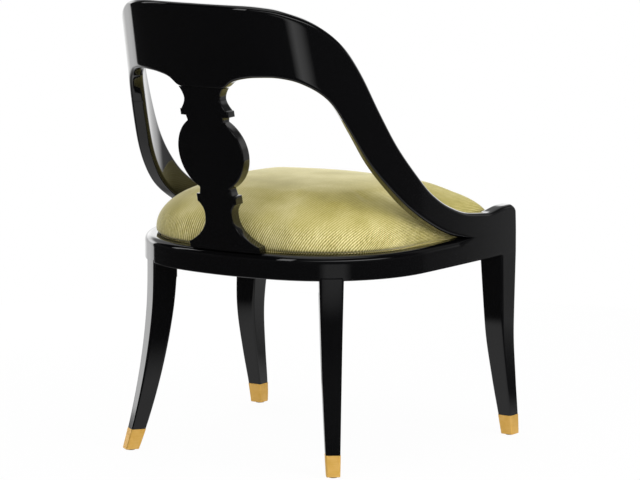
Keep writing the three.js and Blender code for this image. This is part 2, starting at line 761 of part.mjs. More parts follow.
// Corners of the block behind a front post, from the side rail round the post to the front rail
function frontBlockCorners(height) {
  const rear = POST_START - GAP;
  const postInner = POST_WIDTH + GAP;
  const notch = besidePoint(rear, -postInner, 0, height);
  const width = frontRailPoint(1, 0, 0).x;
  return [
    besidePoint(rear - BLOCK_REACH, -BEHIND_RAIL, 0, height),
    besidePoint(rear, -BEHIND_RAIL, 0, height),
    notch,
    frontRailPoint(notch.x / width, BEHIND_RAIL, height),
    frontRailPoint((notch.x - BLOCK_REACH) / width, BEHIND_RAIL, height),
  ];
}

function frontBlock() {
  return plate(frontBlockCorners(0), BLOCK_BOTTOM, BLOCK_HEIGHT);
}

// Block round the tongue of the rear leg: curved against the rail, straight inside
function rearBlock() {
  const from = REAR_LEG_STATION - REAR_BLOCK_SPAN;
  const to = REAR_LEG_STATION + REAR_BLOCK_SPAN;
  const depth = BEHIND_RAIL + REAR_BLOCK_DEPTH;
  const outline = [
    ...steps(from, to, 8).map((s) => besidePoint(s, -BEHIND_RAIL, 0, 0)),
    besidePoint(to, -depth, 0, 0),
    besidePoint(from, -depth, 0, 0),
  ];
  const notch = tongue(MID_RAIL, GAP, RAIL_BOTTOM, RAIL_TOP);
  return cut(plate(outline, BLOCK_BOTTOM, BLOCK_HEIGHT), notch);
}

// Dowels and screws

function pin(from, to, radius, sides = ROUND_SIDES) {
  const axis = to.clone().sub(from);
  const geometry = new THREE.CylinderGeometry(radius, radius, axis.length(), sides);
  geometry.translate(0, axis.length() / 2, 0);
  const up = new THREE.Vector3(0, 1, 0);
  geometry.applyQuaternion(new THREE.Quaternion().setFromUnitVectors(up, axis.normalize()));
  geometry.translate(from.x, from.y, from.z);
  return geometry;
}

// A dowel through the joint at a station, along the bar or upright
function dowelAlong(station, height, depth, pieces) {
  const middle = shellPoint(station, height, depth);
  const ahead = shellPoint(station + DOWEL_LENGTH / 2, height, depth);
  const behind = shellPoint(station - DOWEL_LENGTH / 2, height, depth);
  const reach = ahead.sub(behind).setLength(DOWEL_LENGTH / 2);
  return { from: middle.clone().sub(reach), to: middle.clone().add(reach), pieces };
}

function dowelUp(station, height, pieces) {
  const middle = shellPoint(station, height, MID_SHELL);
  const reach = shellPoint(station, height + DOWEL_LENGTH / 2, MID_SHELL).sub(middle);
  return { from: middle.clone().sub(reach), to: middle.clone().add(reach), pieces };
}

function dowelAcross(height, pieces) {
  const from = frontRailPoint(1, MID_RAIL, height);
  const reach = new THREE.Vector3(DOWEL_LENGTH / 2, 0, 0);
  return { from: from.clone().sub(reach), to: from.clone().add(reach), pieces };
}

// Dowels of the left half of the chair
const armJointMiddle = (topHeight(ARM_JOINT) + archHeight(ARM_JOINT)) / 2;
const armJointSpread = (topHeight(ARM_JOINT) - archHeight(ARM_JOINT)) / 6;
const armRest = NOTCH + (POST_START - NOTCH) / 3;
const dowels = {
  dowel_splat_foot: dowelUp(PLINTH_HALF * 0.6, RAIL_TOP, ["back_rail", "splat"]),
  dowel_splat_head: dowelUp(CAPITAL_HALF * 0.6, RAIL_TOP + SPLAT_RISE, ["splat", "crest_rail"]),
  dowel_arm_upper: dowelAlong(
    ARM_JOINT,
    armJointMiddle + armJointSpread,
    MID_SHELL,
    ["crest_rail", "arm_left"],
  ),
  dowel_arm_lower: dowelAlong(
    ARM_JOINT,
    armJointMiddle - armJointSpread,
    MID_SHELL,
    ["crest_rail", "arm_left"],
  ),
  dowel_arm_front: dowelAlong(
    POST_START,
    RAIL_TOP + ARM_RISE / 2,
    MID_SHELL,
    ["arm_left", "front_leg_left"],
  ),
  dowel_arm_rest: dowelUp(armRest, RAIL_TOP, ["side_rail_left", "arm_left"]),
  dowel_rail_rear: dowelAlong(
    REAR_LEG_STATION,
    RAIL_MIDDLE,
    MID_RAIL,
    ["back_rail", "side_rail_left"],
  ),
  dowel_rail_front: dowelAlong(
    POST_START,
    RAIL_MIDDLE,
    MID_RAIL,
    ["side_rail_left", "front_leg_left"],
  ),
  dowel_front_rail: dowelAcross(RAIL_MIDDLE, ["front_rail", "front_leg_left"]),
};

// A screw whose head bears on a face at a point
function screwAt(point, direction, length, pieces) {
  const axis = direction.clone().normalize();
  return { from: point, to: point.clone().addScaledVector(axis, length), axis, length, pieces };
}

// Screws of the left half: level ones through the blocks into the legs
function blockScrews() {
  const [rear, , notch, , inner] = frontBlockCorners(BLOCK_MIDDLE);
  const slope = inner.clone().sub(rear).normalize();
  const head = rear.clone().addScaledVector(slope, notch.clone().sub(rear).dot(slope));
  const depth = BEHIND_RAIL + REAR_BLOCK_DEPTH;
  const chord = besidePoint(REAR_LEG_STATION - REAR_BLOCK_SPAN, -depth, 0, BLOCK_MIDDLE)
    .lerp(besidePoint(REAR_LEG_STATION + REAR_BLOCK_SPAN, -depth, 0, BLOCK_MIDDLE), 0.5);
  const outward = besidePoint(REAR_LEG_STATION, 0, 0, BLOCK_MIDDLE).sub(chord);
  const frontPieces = ["corner_block_front_left", "front_leg_left"];
  const rearPieces = ["corner_block_rear_left", "rear_leg_left"];
  return {
    screw_leg_front: screwAt(head, notch.clone().sub(head), POST_SCREW_LENGTH, frontPieces),
    screw_leg_rear: screwAt(chord, outward, TONGUE_SCREW_LENGTH, rearPieces),
  };
}

// Upright ones through the blocks and the turned-in cover into the seat board
function seatScrews() {
  const up = new THREE.Vector3(0, 0, 1);
  const length = BOARD_BOTTOM + SEAT_SCREW_BITE - BLOCK_BOTTOM;
  const [, , , corner, inner] = frontBlockCorners(BLOCK_BOTTOM);
  const front = corner.clone().lerp(inner, 0.5);
  front.y += 2 * SCREW_HEAD_RADIUS;
  const rear = besidePoint(
    REAR_LEG_STATION + REAR_BLOCK_SPAN * 0.7,
    -BEHIND_RAIL - REAR_BLOCK_DEPTH / 2,
    0,
    BLOCK_BOTTOM,
  );
  const seat = ["seat_cover", "seat_board"];
  return {
    screw_seat_front: screwAt(front, up, length, ["corner_block_front_left", ...seat]),
    screw_seat_rear: screwAt(rear, up, length, ["corner_block_rear_left", ...seat]),
  };
}

const screws = { ...blockScrews(), ...seatScrews() };

function dowelHole({ from, to }) {
  const reach = to.clone().sub(from).setLength(2 * PIN_CLEARANCE);
  return pin(from.clone().sub(reach), to.clone().add(reach), DOWEL_RADIUS + PIN_CLEARANCE);
}

function screwHole({ from, to, axis }) {
  const start = from.clone().addScaledVector(axis, -SCREW_HEAD_HEIGHT);
  const end = to.clone().addScaledVector(axis, 2 * PIN_CLEARANCE);
  return pin(start, end, SCREW_RADIUS + PIN_CLEARANCE);
}

// Flat round head with its bearing face a hair off the block, shank and point
function screw({ from, axis, length }) {
  const profile = [
    [0, -SCREW_HEAD_HEIGHT], [SCREW_HEAD_RADIUS * 0.8, -SCREW_HEAD_HEIGHT],
    [SCREW_HEAD_RADIUS, -SCREW_HEAD_HEIGHT * 0.6], [SCREW_HEAD_RADIUS, -GAP],
    [SCREW_RADIUS, -GAP], [SCREW_RADIUS, length - 2 * SCREW_RADIUS], [0, length],
  ].map(([x, y]) => new THREE.Vector2(x, y));
  const geometry = new THREE.LatheGeometry(profile, ROUND_SIDES);
  const up = new THREE.Vector3(0, 1, 0);
  geometry.applyQuaternion(new THREE.Quaternion().setFromUnitVectors(up, axis));
  geometry.translate(from.x, from.y, from.z);
  return facingOut(bare(geometry));
}

const HOLES = [
  ...Object.values(dowels).map((dowel) => [dowel.pieces, dowelHole(dowel)]),
  ...Object.values(screws).map((fixing) => [fixing.pieces, screwHole(fixing)]),
];

// Drills a piece of the left side
function drilled(name, geometry) {
  const tools = HOLES.filter(([pieces]) => pieces.includes(name)).map(([, tool]) => tool);
  return cut(geometry, ...tools);
}

// Drills a piece that spans both sides
function drilledBothSides(name, geometry) {
  const tools = HOLES.filter(([pieces]) => pieces.includes(name)).map(([, tool]) => tool);
  return cut(geometry, ...tools, ...tools.map(mirrored));
}

// Assembly

const chair = new THREE.Group();
chair.name = "lyre_back_chair";

function place(name, material, geometry) {
  const mesh = new THREE.Mesh(geometry, new THREE.MeshStandardMaterial(MATERIALS[material]));
  mesh.name = name;
  chair.add(mesh);
}

function placePair(name, material, geometry) {
  place(`${name}_left`, material, geometry);
  place(`${name}_right`, material, mirrored(geometry));
}

place("crest_rail", "lacquer", drilledBothSides("crest_rail", crestRail()));
place("splat", "lacquer", drilledBothSides("splat", splat()));
place("back_rail", "lacquer", drilledBothSides("back_rail", backRail()));
place("front_rail", "lacquer", drilledBothSides("front_rail", frontRail()));
placePair("arm", "lacquer", drilled("arm_left", arm()));
placePair("side_rail", "lacquer", drilled("side_rail_left", sideRail()));
placePair("front_leg", "lacquer", drilled("front_leg_left", frontLeg()));
placePair("rear_leg", "lacquer", drilled("rear_leg_left", rearLeg()));
placePair("shoe_front", "brass", shoe(FRONT_LEG));
placePair("shoe_rear", "brass", shoe(REAR_LEG));
placePair("glide_front", "nylon", glide(FRONT_LEG));
placePair("glide_rear", "nylon", glide(REAR_LEG));
placePair("corner_block_front", "beech", drilled("corner_block_front_left", frontBlock()));
placePair("corner_block_rear", "beech", drilled("corner_block_rear_left", rearBlock()));
place("seat_board", "plywood", drilledBothSides("seat_board", seatBoard()));
place("seat_foam", "foam", seatFoam());
place("seat_cover", "velvet", drilledBothSides("seat_cover", seatCover()));
place("dust_cover", "cambric", dustCover());
Object.entries(dowels).forEach(([name, { from, to }]) => {
  placePair(name, "beech", pin(from, to, DOWEL_RADIUS));
});
Object.entries(screws).forEach(([name, fixing]) => placePair(name, "steel", screw(fixing)));

// The origin is the middle of the bounding box on the floor
const middle = new THREE.Box3().setFromObject(chair).getCenter(new THREE.Vector3());
chair.children.forEach((mesh) => mesh.geometry.translate(0, -middle.y, 0));

export default chair;
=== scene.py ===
"""Lyre back chair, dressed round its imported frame.

Black lacquered horseshoe frame on sabre legs with brass shoes, a bent back that falls into the
arms, a pierced lyre splat and a drop-in seat in striped velvet. Metres, +Z up, the chair faces
-Y and +X is the sitter's left.
"""

import json
import logging
import math
from dataclasses import dataclass, field
from enum import Enum

import bmesh
import bpy
import numpy as np
from mathutils import Matrix, Vector


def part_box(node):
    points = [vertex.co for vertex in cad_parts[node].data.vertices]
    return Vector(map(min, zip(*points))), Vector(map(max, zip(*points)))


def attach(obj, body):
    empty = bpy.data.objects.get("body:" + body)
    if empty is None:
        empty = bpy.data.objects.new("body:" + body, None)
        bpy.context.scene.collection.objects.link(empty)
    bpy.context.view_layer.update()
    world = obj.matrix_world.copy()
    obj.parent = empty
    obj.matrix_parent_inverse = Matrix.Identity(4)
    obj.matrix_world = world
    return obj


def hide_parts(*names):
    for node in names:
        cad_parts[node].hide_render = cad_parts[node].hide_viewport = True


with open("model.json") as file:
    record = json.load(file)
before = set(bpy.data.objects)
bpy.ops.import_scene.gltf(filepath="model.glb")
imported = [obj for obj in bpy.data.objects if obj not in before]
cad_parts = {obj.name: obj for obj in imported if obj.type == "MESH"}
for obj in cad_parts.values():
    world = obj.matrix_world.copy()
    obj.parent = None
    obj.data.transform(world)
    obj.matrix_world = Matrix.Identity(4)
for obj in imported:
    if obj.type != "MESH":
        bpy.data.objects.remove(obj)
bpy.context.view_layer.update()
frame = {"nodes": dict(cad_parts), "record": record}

log = logging.getLogger("lyre_back_chair")

MM = 0.001
SHARP_ANGLE = math.radians(32)
QUARTER = math.pi / 2
CLOTH_MAP = "cloth"


# Colours, nodes and finishes


def linear(hex_code: str) -> tuple[float, float, float, float]:
    """Linear colour of an sRGB hex value.

    Args:
        hex_code: Six hex digits, such as "d9a94c".

    Returns:
        Red, green, blue and an alpha of 1.
    """
    srgb = np.array([int(hex_code[i : i + 2], 16) for i in (0, 2, 4)]) / 255
    low, high = srgb / 12.92, ((srgb + 0.055) / 1.055) ** 2.4
    return (*np.where(srgb <= 0.04045, low, high).tolist(), 1.0)


def add_node(
    tree: bpy.types.NodeTree, kind: str, inputs: dict | None = None, **settings
) -> bpy.types.Node:
    """Adds one node with its settings, its socket values and its links.

    Args:
        tree: The node tree.
        kind: Blender's name of the node type.
        inputs: Socket name or number to a value, or to the output socket that feeds it.
        **settings: Properties of the node itself.

    Returns:
        The new node.
    """
    node = tree.nodes.new(kind)
    for name, value in settings.items():
        setattr(node, name, value)
    for name, value in (inputs or {}).items():
        if isinstance(value, bpy.types.NodeSocket):
            tree.links.new(value, node.inputs[name])
        else:
            node.inputs[name].default_value = value
    return node


def fill_ramp(node: bpy.types.Node, stops: list[tuple[float, str]]) -> bpy.types.NodeSocket:
    """Sets the stops of a colour ramp.

    Args:
        node: The colour ramp's node.
        stops: Places from 0 to 1 and sRGB hex colours, in order of place.

    Returns:
        The node's colour socket.
    """
    elements = node.color_ramp.elements
    for element, (place, code) in zip(elements, (stops[0], stops[-1])):
        element.position, element.color = place, linear(code)
    for place, code in stops[1:-1]:
        elements.new(place).color = linear(code)
    return node.outputs["Color"]


def new_material(name: str, **sockets) -> tuple[bpy.types.Material, bpy.types.NodeTree, bpy.types.Node]:
    """Material with one Principled shader.

    Args:
        name: The material's name.
        **sockets: Values of the shader's own sockets, with _ for a space in the name.

    Returns:
        The material, its node tree and the shader.
    """
    material = bpy.data.materials.new(name)
    material.use_nodes = True
    tree = material.node_tree
    shader = tree.nodes["Principled BSDF"]
    for socket, value in sockets.items():
        shader.inputs[socket.replace("_", " ")].default_value = value
    return material, tree, shader


@dataclass(frozen=True)
class PianoLacquer:
    """Black polyester lacquer over beech, sprayed and polished: deep, wet gloss.

    The spray leaves a faint waviness a few millimetres long, and polishing leaves the gloss a
    little uneven, so reflections are sharp but not quite those of a mirror. Smoothest and
    roughest are shares of the roughness.
    """

    colour: str = "060607"
    refraction: float = 1.5
    roughness: float = 0.055
    smoothest: float = 0.7
    roughest: float = 1.4
    peel_mm: float = 5.0
    peel_relief_mm: float = 0.004
    polish_mm: float = 60.0

    def material(self) -> bpy.types.Material:
        """The finish as a material."""
        material, tree, shader = new_material(
            "piano_lacquer", Base_Color=linear(self.colour), IOR=self.refraction
        )
        place = add_node(tree, "ShaderNodeTexCoord").outputs["Object"]
        peel = add_node(
            tree, "ShaderNodeTexNoise", {"Vector": place, "Scale": 1 / (self.peel_mm * MM), "Detail": 1.0}
        )
        bump = add_node(
            tree,
            "ShaderNodeBump",
            {"Height": peel.outputs["Fac"], "Distance": self.peel_relief_mm * MM, "Strength": 1.0},
        )
        polish = add_node(
            tree, "ShaderNodeTexNoise", {"Vector": place, "Scale": 1 / (self.polish_mm * MM), "Detail": 2.0}
        )
        rough = add_node(
            tree,
            "ShaderNodeMapRange",
            {
                "Value": polish.outputs["Fac"],
                "To Min": self.roughness * self.smoothest,
                "To Max": self.roughness * self.roughest,
            },
        )
        tree.links.new(bump.outputs["Normal"], shader.inputs["Normal"])
        tree.links.new(rough.outputs["Result"], shader.inputs["Roughness"])
        return material


@dataclass(frozen=True)
class SatinBrass:
    """Brass sheet, brushed across and lacquered: warm gold with a soft level sheen.

    The clear lacquer over the brush lines scatters part of the light, so it isn't all metal. The
    lines are drawn coarser than real ones, so that they show.
    """

    colour: str = "f8c870"
    dull: str = "eeba56"
    metal: float = 0.6
    roughness: float = 0.4
    smoother: float = 0.05
    rougher: float = 0.1
    brush_mm: float = 0.5
    brush_length_mm: float = 50 / 3
    brush_relief_mm: float = 0.01
    brush_bump: float = 0.6
    cloud_mm: float = 100 / 9
    tone_from: float = 0.1
    tone_to: float = 0.4

    def material(self) -> bpy.types.Material:
        """The finish as a material."""
        material, tree, shader = new_material("satin_brass", Metallic=self.metal)
        place = add_node(tree, "ShaderNodeTexCoord").outputs["Object"]
        level = 1 / (self.brush_length_mm * MM)
        along = add_node(
            tree, "ShaderNodeMapping", {"Vector": place, "Scale": (level, level, 1 / (self.brush_mm * MM))}
        )
        lines = add_node(
            tree, "ShaderNodeTexNoise", {"Vector": along.outputs["Vector"], "Scale": 1.0, "Detail": 3.0}
        )
        cloud = add_node(
            tree, "ShaderNodeTexNoise", {"Vector": place, "Scale": 1 / (self.cloud_mm * MM), "Detail": 2.0}
        )
        mix = add_node(
            tree, "ShaderNodeMath", {0: lines.outputs["Fac"], 1: cloud.outputs["Fac"]}, operation="MULTIPLY"
        )
        tones = add_node(tree, "ShaderNodeValToRGB", {"Fac": mix.outputs[0]})
        colour = fill_ramp(tones, [(self.tone_from, self.dull), (self.tone_to, self.colour)])
        tree.links.new(colour, shader.inputs["Base Color"])
        rough = add_node(
            tree,
            "ShaderNodeMapRange",
            {
                "Value": lines.outputs["Fac"],
                "To Min": self.roughness - self.smoother,
                "To Max": self.roughness + self.rougher,
            },
        )
        relief = self.brush_relief_mm * MM
        bump = add_node(
            tree,
            "ShaderNodeBump",
            {"Height": lines.outputs["Fac"], "Distance": relief, "Strength": self.brush_bump},
        )
        tree.links.new(rough.outputs["Result"], shader.inputs["Roughness"])
        tree.links.new(bump.outputs["Normal"], shader.inputs["Normal"])
        return material


@dataclass(frozen=True)
class StripedVelvet:
    """Cotton velvet woven with irregular fine stripes, which run from front to back.

    The pile stands in ribs a few millimetres apart. Their colour is painted highlight on the crests
    and painted shade in the deep olive furrows, over the stripes. Up-facing cloth on the crown is
    painted light: a plainer tone with fainter ribs, for its flatter shading. Hands crush the pile
    in soft patches on the crown, and the shifting sheen of that pile is painted into the colour as
    lighter and darker patches. Threads are drawn coarser than real ones, so that they show. The
    stripes shift sideways with the height over askew_from, by askew in the middle and by
    askew_growth less per metre to the sitter's left.
    """

    light: str = "ece2ae"
    mid: str = "b3a75c"
    deep: str = "665c22"
    tones: tuple[float, float, float] = (0.36, 0.55, 0.74)
    roughness: float = 0.85
    refraction: float = 1.4
    sheen: float = 0.75
    sheen_roughness: float = 0.35
    sheen_tint: str = "f6f1d4"
    rib_mm: float = 4.5
    rib_stretch: float = 8.0
    drift_mm: float = 3.0
    drift_pitch_mm: float = 18.0
    drift_stretch: float = 5.0
    thread_mm: float = 1.5
    thread_stretch: float = 2.5
    thread_share: float = 0.55
    uneven_share: float = 0.68
    # Up-facing cloth gets a plain tone and fainter ribs: painted light for the crown's flatter shading.
    crown_from: float = 0.35
    crown_full: float = 0.85
    crown_painted_ribs: float = 0.3
    crown_painted_tone: float = 0.53
    relief_mm: float = 0.8
    bump: float = 0.7
    # Patches of pile crushed by hands, whose shifting sheen is painted into the colour.
    patches: float = 0.36
    patch_mm: float = 95.0
    askew: float = 0.3
    askew_growth: float = 2.0
    askew_from: float = 420 * MM
    widest_tone: float = 1.23

    def material(self) -> bpy.types.Material:
        """The finish as a material that reads the cushion's own UV map, in metres of cloth."""
        material, tree, shader = new_material(
            "striped_velvet",
            Roughness=self.roughness,
            Sheen_Weight=self.sheen,
            Sheen_Roughness=self.sheen_roughness,
            Sheen_Tint=linear(self.sheen_tint),
            IOR=self.refraction,
        )
        cloth = add_node(tree, "ShaderNodeUVMap", uv_map=CLOTH_MAP).outputs["UV"]
        place = add_node(tree, "ShaderNodeTexCoord").outputs["Object"]

        def lines(pitch_mm: float, stretch: float) -> bpy.types.NodeSocket:
            """Noise drawn out along the cloth, so that it shows as lines.

            Args:
                pitch_mm: Distance between two lines.
                stretch: Length of a line, in pitches.

            Returns:
                Socket of the noise.
            """
            scale = 1 / (pitch_mm * MM)
            drawn = add_node(
                tree, "ShaderNodeMapping", {"Vector": cloth, "Scale": (scale, scale / stretch, 1.0)}
            )
            noise = add_node(
                tree, "ShaderNodeTexNoise", {"Vector": drawn.outputs["Vector"], "Scale": 1.0, "Detail": 2.0}
            )
            return noise.outputs["Fac"]

        across = add_node(tree, "ShaderNodeSeparateXYZ", {0: cloth}).outputs["X"]
        where = add_node(tree, "ShaderNodeSeparateXYZ", {0: place}).outputs
        lean = add_node(
            tree,
            "ShaderNodeMath",
            {0: where["X"], 1: -self.askew_growth, 2: self.askew},
            operation="MULTIPLY_ADD",
        )
        rise = add_node(tree, "ShaderNodeMath", {0: where["Z"], 1: self.askew_from}, operation="SUBTRACT")
        pulled = add_node(
            tree,
            "ShaderNodeMath",
            {0: lean.outputs[0], 1: rise.outputs[0], 2: across},
            operation="MULTIPLY_ADD",
        )
        wander = lines(self.drift_pitch_mm, self.drift_stretch)
        drift = add_node(
            tree,
            "ShaderNodeMath",
            {0: wander, 1: self.drift_mm * MM, 2: pulled.outputs[0]},
            operation="MULTIPLY_ADD",
        )
        phase = add_node(
            tree,
            "ShaderNodeMath",
            {0: drift.outputs[0], 1: 2 * math.pi / (self.rib_mm * MM)},
            operation="MULTIPLY",
        )
        # Rib wave: its light crests are painted highlight and its dark furrows painted shade, over the
        # stripes and the bump.
        wave = add_node(tree, "ShaderNodeMath", {0: phase.outputs[0]}, operation="SINE")
        rib = add_node(tree, "ShaderNodeMath", {0: wave.outputs[0], 1: 0.5, 2: 0.5}, operation="MULTIPLY_ADD")
        streaks = lines(self.rib_mm * 0.6, self.rib_stretch)
        threads = lines(self.thread_mm, self.thread_stretch)
        uneven = add_node(
            tree,
            "ShaderNodeMix",
            {"Factor": self.thread_share, 2: streaks, 3: threads},
            data_type="FLOAT",
        )
        both = add_node(
            tree,
            "ShaderNodeMix",
            {"Factor": self.uneven_share, 2: rib.outputs[0], 3: uneven.outputs[0]},
            data_type="FLOAT",
        )
        # Painted light: by the surface normal, up-facing cloth on the crown takes a plain even tone with
        # faint ribs, in colour and relief.
        normal = add_node(tree, "ShaderNodeNewGeometry").outputs["Normal"]
        upward = add_node(tree, "ShaderNodeSeparateXYZ", {0: normal})
        painted_crown_light = add_node(
            tree,
            "ShaderNodeMapRange",
            {
                "Value": upward.outputs["Z"],
                "From Min": self.crown_from,
                "From Max": self.crown_full,
                "To Min": 1.0,
                "To Max": self.crown_painted_ribs,
            },
            interpolation_type="SMOOTHSTEP",
        )
        level = add_node(
            tree,
            "ShaderNodeMix",
            {"Factor": painted_crown_light.outputs[0], 2: self.crown_painted_tone, 3: both.outputs[0]},
            data_type="FLOAT",
        )
        # Soft lighter and darker patches: crushed pile, with its shifting sheen painted into the colour.
        rubbed_sheen = add_node(
            tree, "ShaderNodeTexNoise", {"Vector": place, "Scale": 1 / (self.patch_mm * MM), "Detail": 2.0}
        )
        tone = add_node(
            tree,
            "ShaderNodeMath",
            {0: rubbed_sheen.outputs["Fac"], 1: self.patches, 2: level.outputs[0]},
            operation="MULTIPLY_ADD",
        )
        share = add_node(
            tree, "ShaderNodeMath", {0: tone.outputs[0], 1: self.widest_tone}, operation="DIVIDE"
        )
        colours = add_node(tree, "ShaderNodeValToRGB", {"Fac": share.outputs[0]})
        colour = fill_ramp(colours, list(zip(self.tones, (self.deep, self.mid, self.light))))
        tree.links.new(colour, shader.inputs["Base Color"])
        bump = add_node(
            tree,
            "ShaderNodeBump",
            {"Height": level.outputs[0], "Distance": self.relief_mm * MM, "Strength": self.bump},
        )
        tree.links.new(bump.outputs["Normal"], shader.inputs["Normal"])
        return material


@dataclass(frozen=True)
class RawWood:
    """Bare sanded timber or plywood: pale, matt, with long grain lines."""

    name: str
    light: str
    dark: str
    grain_mm: float
    stretch: float = 15.0
    relief_mm: float = 0.05

    def material(self) -> bpy.types.Material:
        """The finish as a material."""
        material, tree, shader = new_material(self.name, Roughness=0.7, IOR=1.45)
        place = add_node(tree, "ShaderNodeTexCoord").outputs["Object"]
        grain = 1 / (self.grain_mm * MM)
        scale = (grain / self.stretch, grain, grain)
        drawn = add_node(tree, "ShaderNodeMapping", {"Vector": place, "Scale": scale})
        noise = add_node(
            tree, "ShaderNodeTexNoise", {"Vector": drawn.outputs["Vector"], "Scale": 1.0, "Detail": 4.0}
        )
        tones = add_node(tree, "ShaderNodeValToRGB", {"Fac": noise.outputs["Fac"]})
        colour = fill_ramp(tones, [(0.3, self.dark), (0.65, self.light)])
        bump = add_node(
            tree,
            "ShaderNodeBump",
            {"Height": noise.outputs["Fac"], "Distance": self.relief_mm * MM, "Strength": 0.5},
        )
        tree.links.new(colour, shader.inputs["Base Color"])
        tree.links.new(bump.outputs["Normal"], shader.inputs["Normal"])
        return material


@dataclass(frozen=True)
class GrainyStuff:
    """Matt stuff with a fine even grain: moulded nylon, dust cloth, foam or plated steel."""

    name: str
    light: str
    dark: str
    grain_mm: float
    roughness: float
    metallic: float = 0.0
    relief_mm: float = 0.05

    def material(self) -> bpy.types.Material:
        """The finish as a material."""
        material, tree, shader = new_material(self.name, Roughness=self.roughness, Metallic=self.metallic)
        place = add_node(tree, "ShaderNodeTexCoord").outputs["Object"]
        noise = add_node(
            tree, "ShaderNodeTexNoise", {"Vector": place, "Scale": 1 / (self.grain_mm * MM), "Detail": 2.0}
        )
        tones = add_node(tree, "ShaderNodeValToRGB", {"Fac": noise.outputs["Fac"]})
        colour = fill_ramp(tones, [(0.3, self.dark), (0.7, self.light)])
        bump = add_node(
            tree,
            "ShaderNodeBump",
            {"Height": noise.outputs["Fac"], "Distance": self.relief_mm * MM, "Strength": 0.5},
        )
        tree.links.new(colour, shader.inputs["Base Color"])
        tree.links.new(bump.outputs["Normal"], shader.inputs["Normal"])
        return material


class Slot(Enum):
    """The record's material slots, each with the finish that it gets."""

    LACQUER = "lacquer"
    BRASS = "brass"
    VELVET = "velvet"
    BEECH = "beech"
    PLYWOOD = "plywood"
    FOAM = "foam"
    CAMBRIC = "cambric"
    NYLON = "nylon"
    STEEL = "steel"

    def finish(self) -> PianoLacquer | SatinBrass | StripedVelvet | RawWood | GrainyStuff:
        """The finish of this slot."""
        return {
            Slot.LACQUER: PianoLacquer(),
            Slot.BRASS: SatinBrass(),
            Slot.VELVET: StripedVelvet(),
            Slot.BEECH: RawWood("sanded_beech", "d9b68a", "c0946a", 2.5),
            Slot.PLYWOOD: RawWood("birch_plywood", "dcc29a", "c6a777", 4.0),
            Slot.FOAM: GrainyStuff("upholstery_foam", "f2e8bd", "e2d394", 1.2, 0.95, relief_mm=0.3),
            Slot.CAMBRIC: GrainyStuff("dust_cambric", "232325", "151517", 0.8, 0.95, relief_mm=0.1),
            Slot.NYLON: GrainyStuff("moulded_nylon", "333333", "262626", 0.6, 0.5),
            Slot.STEEL: GrainyStuff("zinc_plated_steel", "c3c6c8", "a9adb0", 1.5, 0.35, 1.0, 0.02),
        }[self]


class Finishes:
    """Makes each finish once and hands it out by slot."""

    def __init__(self) -> None:
        """Starts with no material made."""
        self._made: dict[Slot, bpy.types.Material] = {}

    def of(self, slot: Slot) -> bpy.types.Material:
        """The material of a slot.

        Args:
            slot: The slot.

        Returns:
            The same material each time.
        """
        if slot not in self._made:
            self._made[slot] = slot.finish().material()
        return self._made[slot]

    def dress(self, piece: bpy.types.Object, slot: Slot) -> None:
        """Gives a piece or a CAD node the material of a slot."""
        piece.data.materials.clear()
        piece.data.materials.append(self.of(slot))


# Curves and surfaces


def smooth_line(points: list[tuple[float, float]], x: np.ndarray) -> np.ndarray:
    """Smooth line through points that never overshoots them (monotone cubic).

    Args:
        points: Places and values, in order of place.
        x: Where the line is wanted.

    Returns:
        The line's values. Between two points they follow a cubic whose end slopes are the
        harmonic means of the neighbouring chords' slopes.
    """
    px, py = np.array(points).T
    chords = np.diff(py) / np.diff(px)
    before, after = np.r_[chords[0], chords], np.r_[chords, chords[-1]]
    product = before * after
    total = np.where(np.abs(before + after) < 1e-12, 1.0, before + after)
    tangent = np.where(product > 0, 2 * product / total, 0.0)
    i = np.clip(np.searchsorted(px, x) - 1, 0, len(px) - 2)
    span = px[i + 1] - px[i]
    t = np.clip((x - px[i]) / span, 0, 1)
    return (
        py[i] * (1 + 2 * t) * (1 - t) ** 2
        + tangent[i] * span * t * (1 - t) ** 2
        + py[i + 1] * t * t * (3 - 2 * t)
        - tangent[i + 1] * span * t * t * (1 - t)
    )


def smoothstep(x: np.ndarray, low: float, high: float) -> np.ndarray:
    """Share of the way from low to high, eased at both ends.

    Args:
        x: Places.
        low: Place where the share is 0.
        high: Place where the share is 1.

    Returns:
        Shares from 0 to 1.
    """
    t = np.clip((x - low) / (high - low), 0, 1)
    return t * t * (3 - 2 * t)


def blurred(values: np.ndarray, spacing: float, spread: float) -> np.ndarray:
    """Evenly spaced values, averaged with a bell curve.

    Args:
        values: The values.
        spacing: Distance between two values.
        spread: The bell curve's standard deviation, as a distance.

    Returns:
        As many averaged values.
    """
    reach = int(3 * spread / spacing)
    bell = np.exp(-0.5 * (np.arange(-reach, reach + 1) * spacing / spread) ** 2)
    padded = np.pad(values, reach, mode="reflect", reflect_type="odd")
    return np.convolve(padded, bell / bell.sum(), mode="valid")


def eased(count: int) -> np.ndarray:
    """Shares from 0 to 1, without both ends, that crowd towards the ends."""
    return 0.5 - 0.5 * np.cos(math.pi * np.arange(1, count) / count)


def coordinates(mesh: bpy.types.Mesh) -> np.ndarray:
    """Places of a mesh's vertices.

    Args:
        mesh: The mesh.

    Returns:
        Points, as vertices x 3.
    """
    flat = np.zeros(len(mesh.vertices) * 3, np.float32)
    mesh.vertices.foreach_get("co", flat)
    return flat.reshape(-1, 3).astype(float)


def recalculate(mesh: bpy.types.Mesh) -> None:
    """Turns a closed mesh's faces outward.

    Args:
        mesh: The mesh.
    """
    work = bmesh.new()
    work.from_mesh(mesh)
    bmesh.ops.recalc_face_normals(work, faces=work.faces)
    work.to_mesh(mesh)
    work.free()


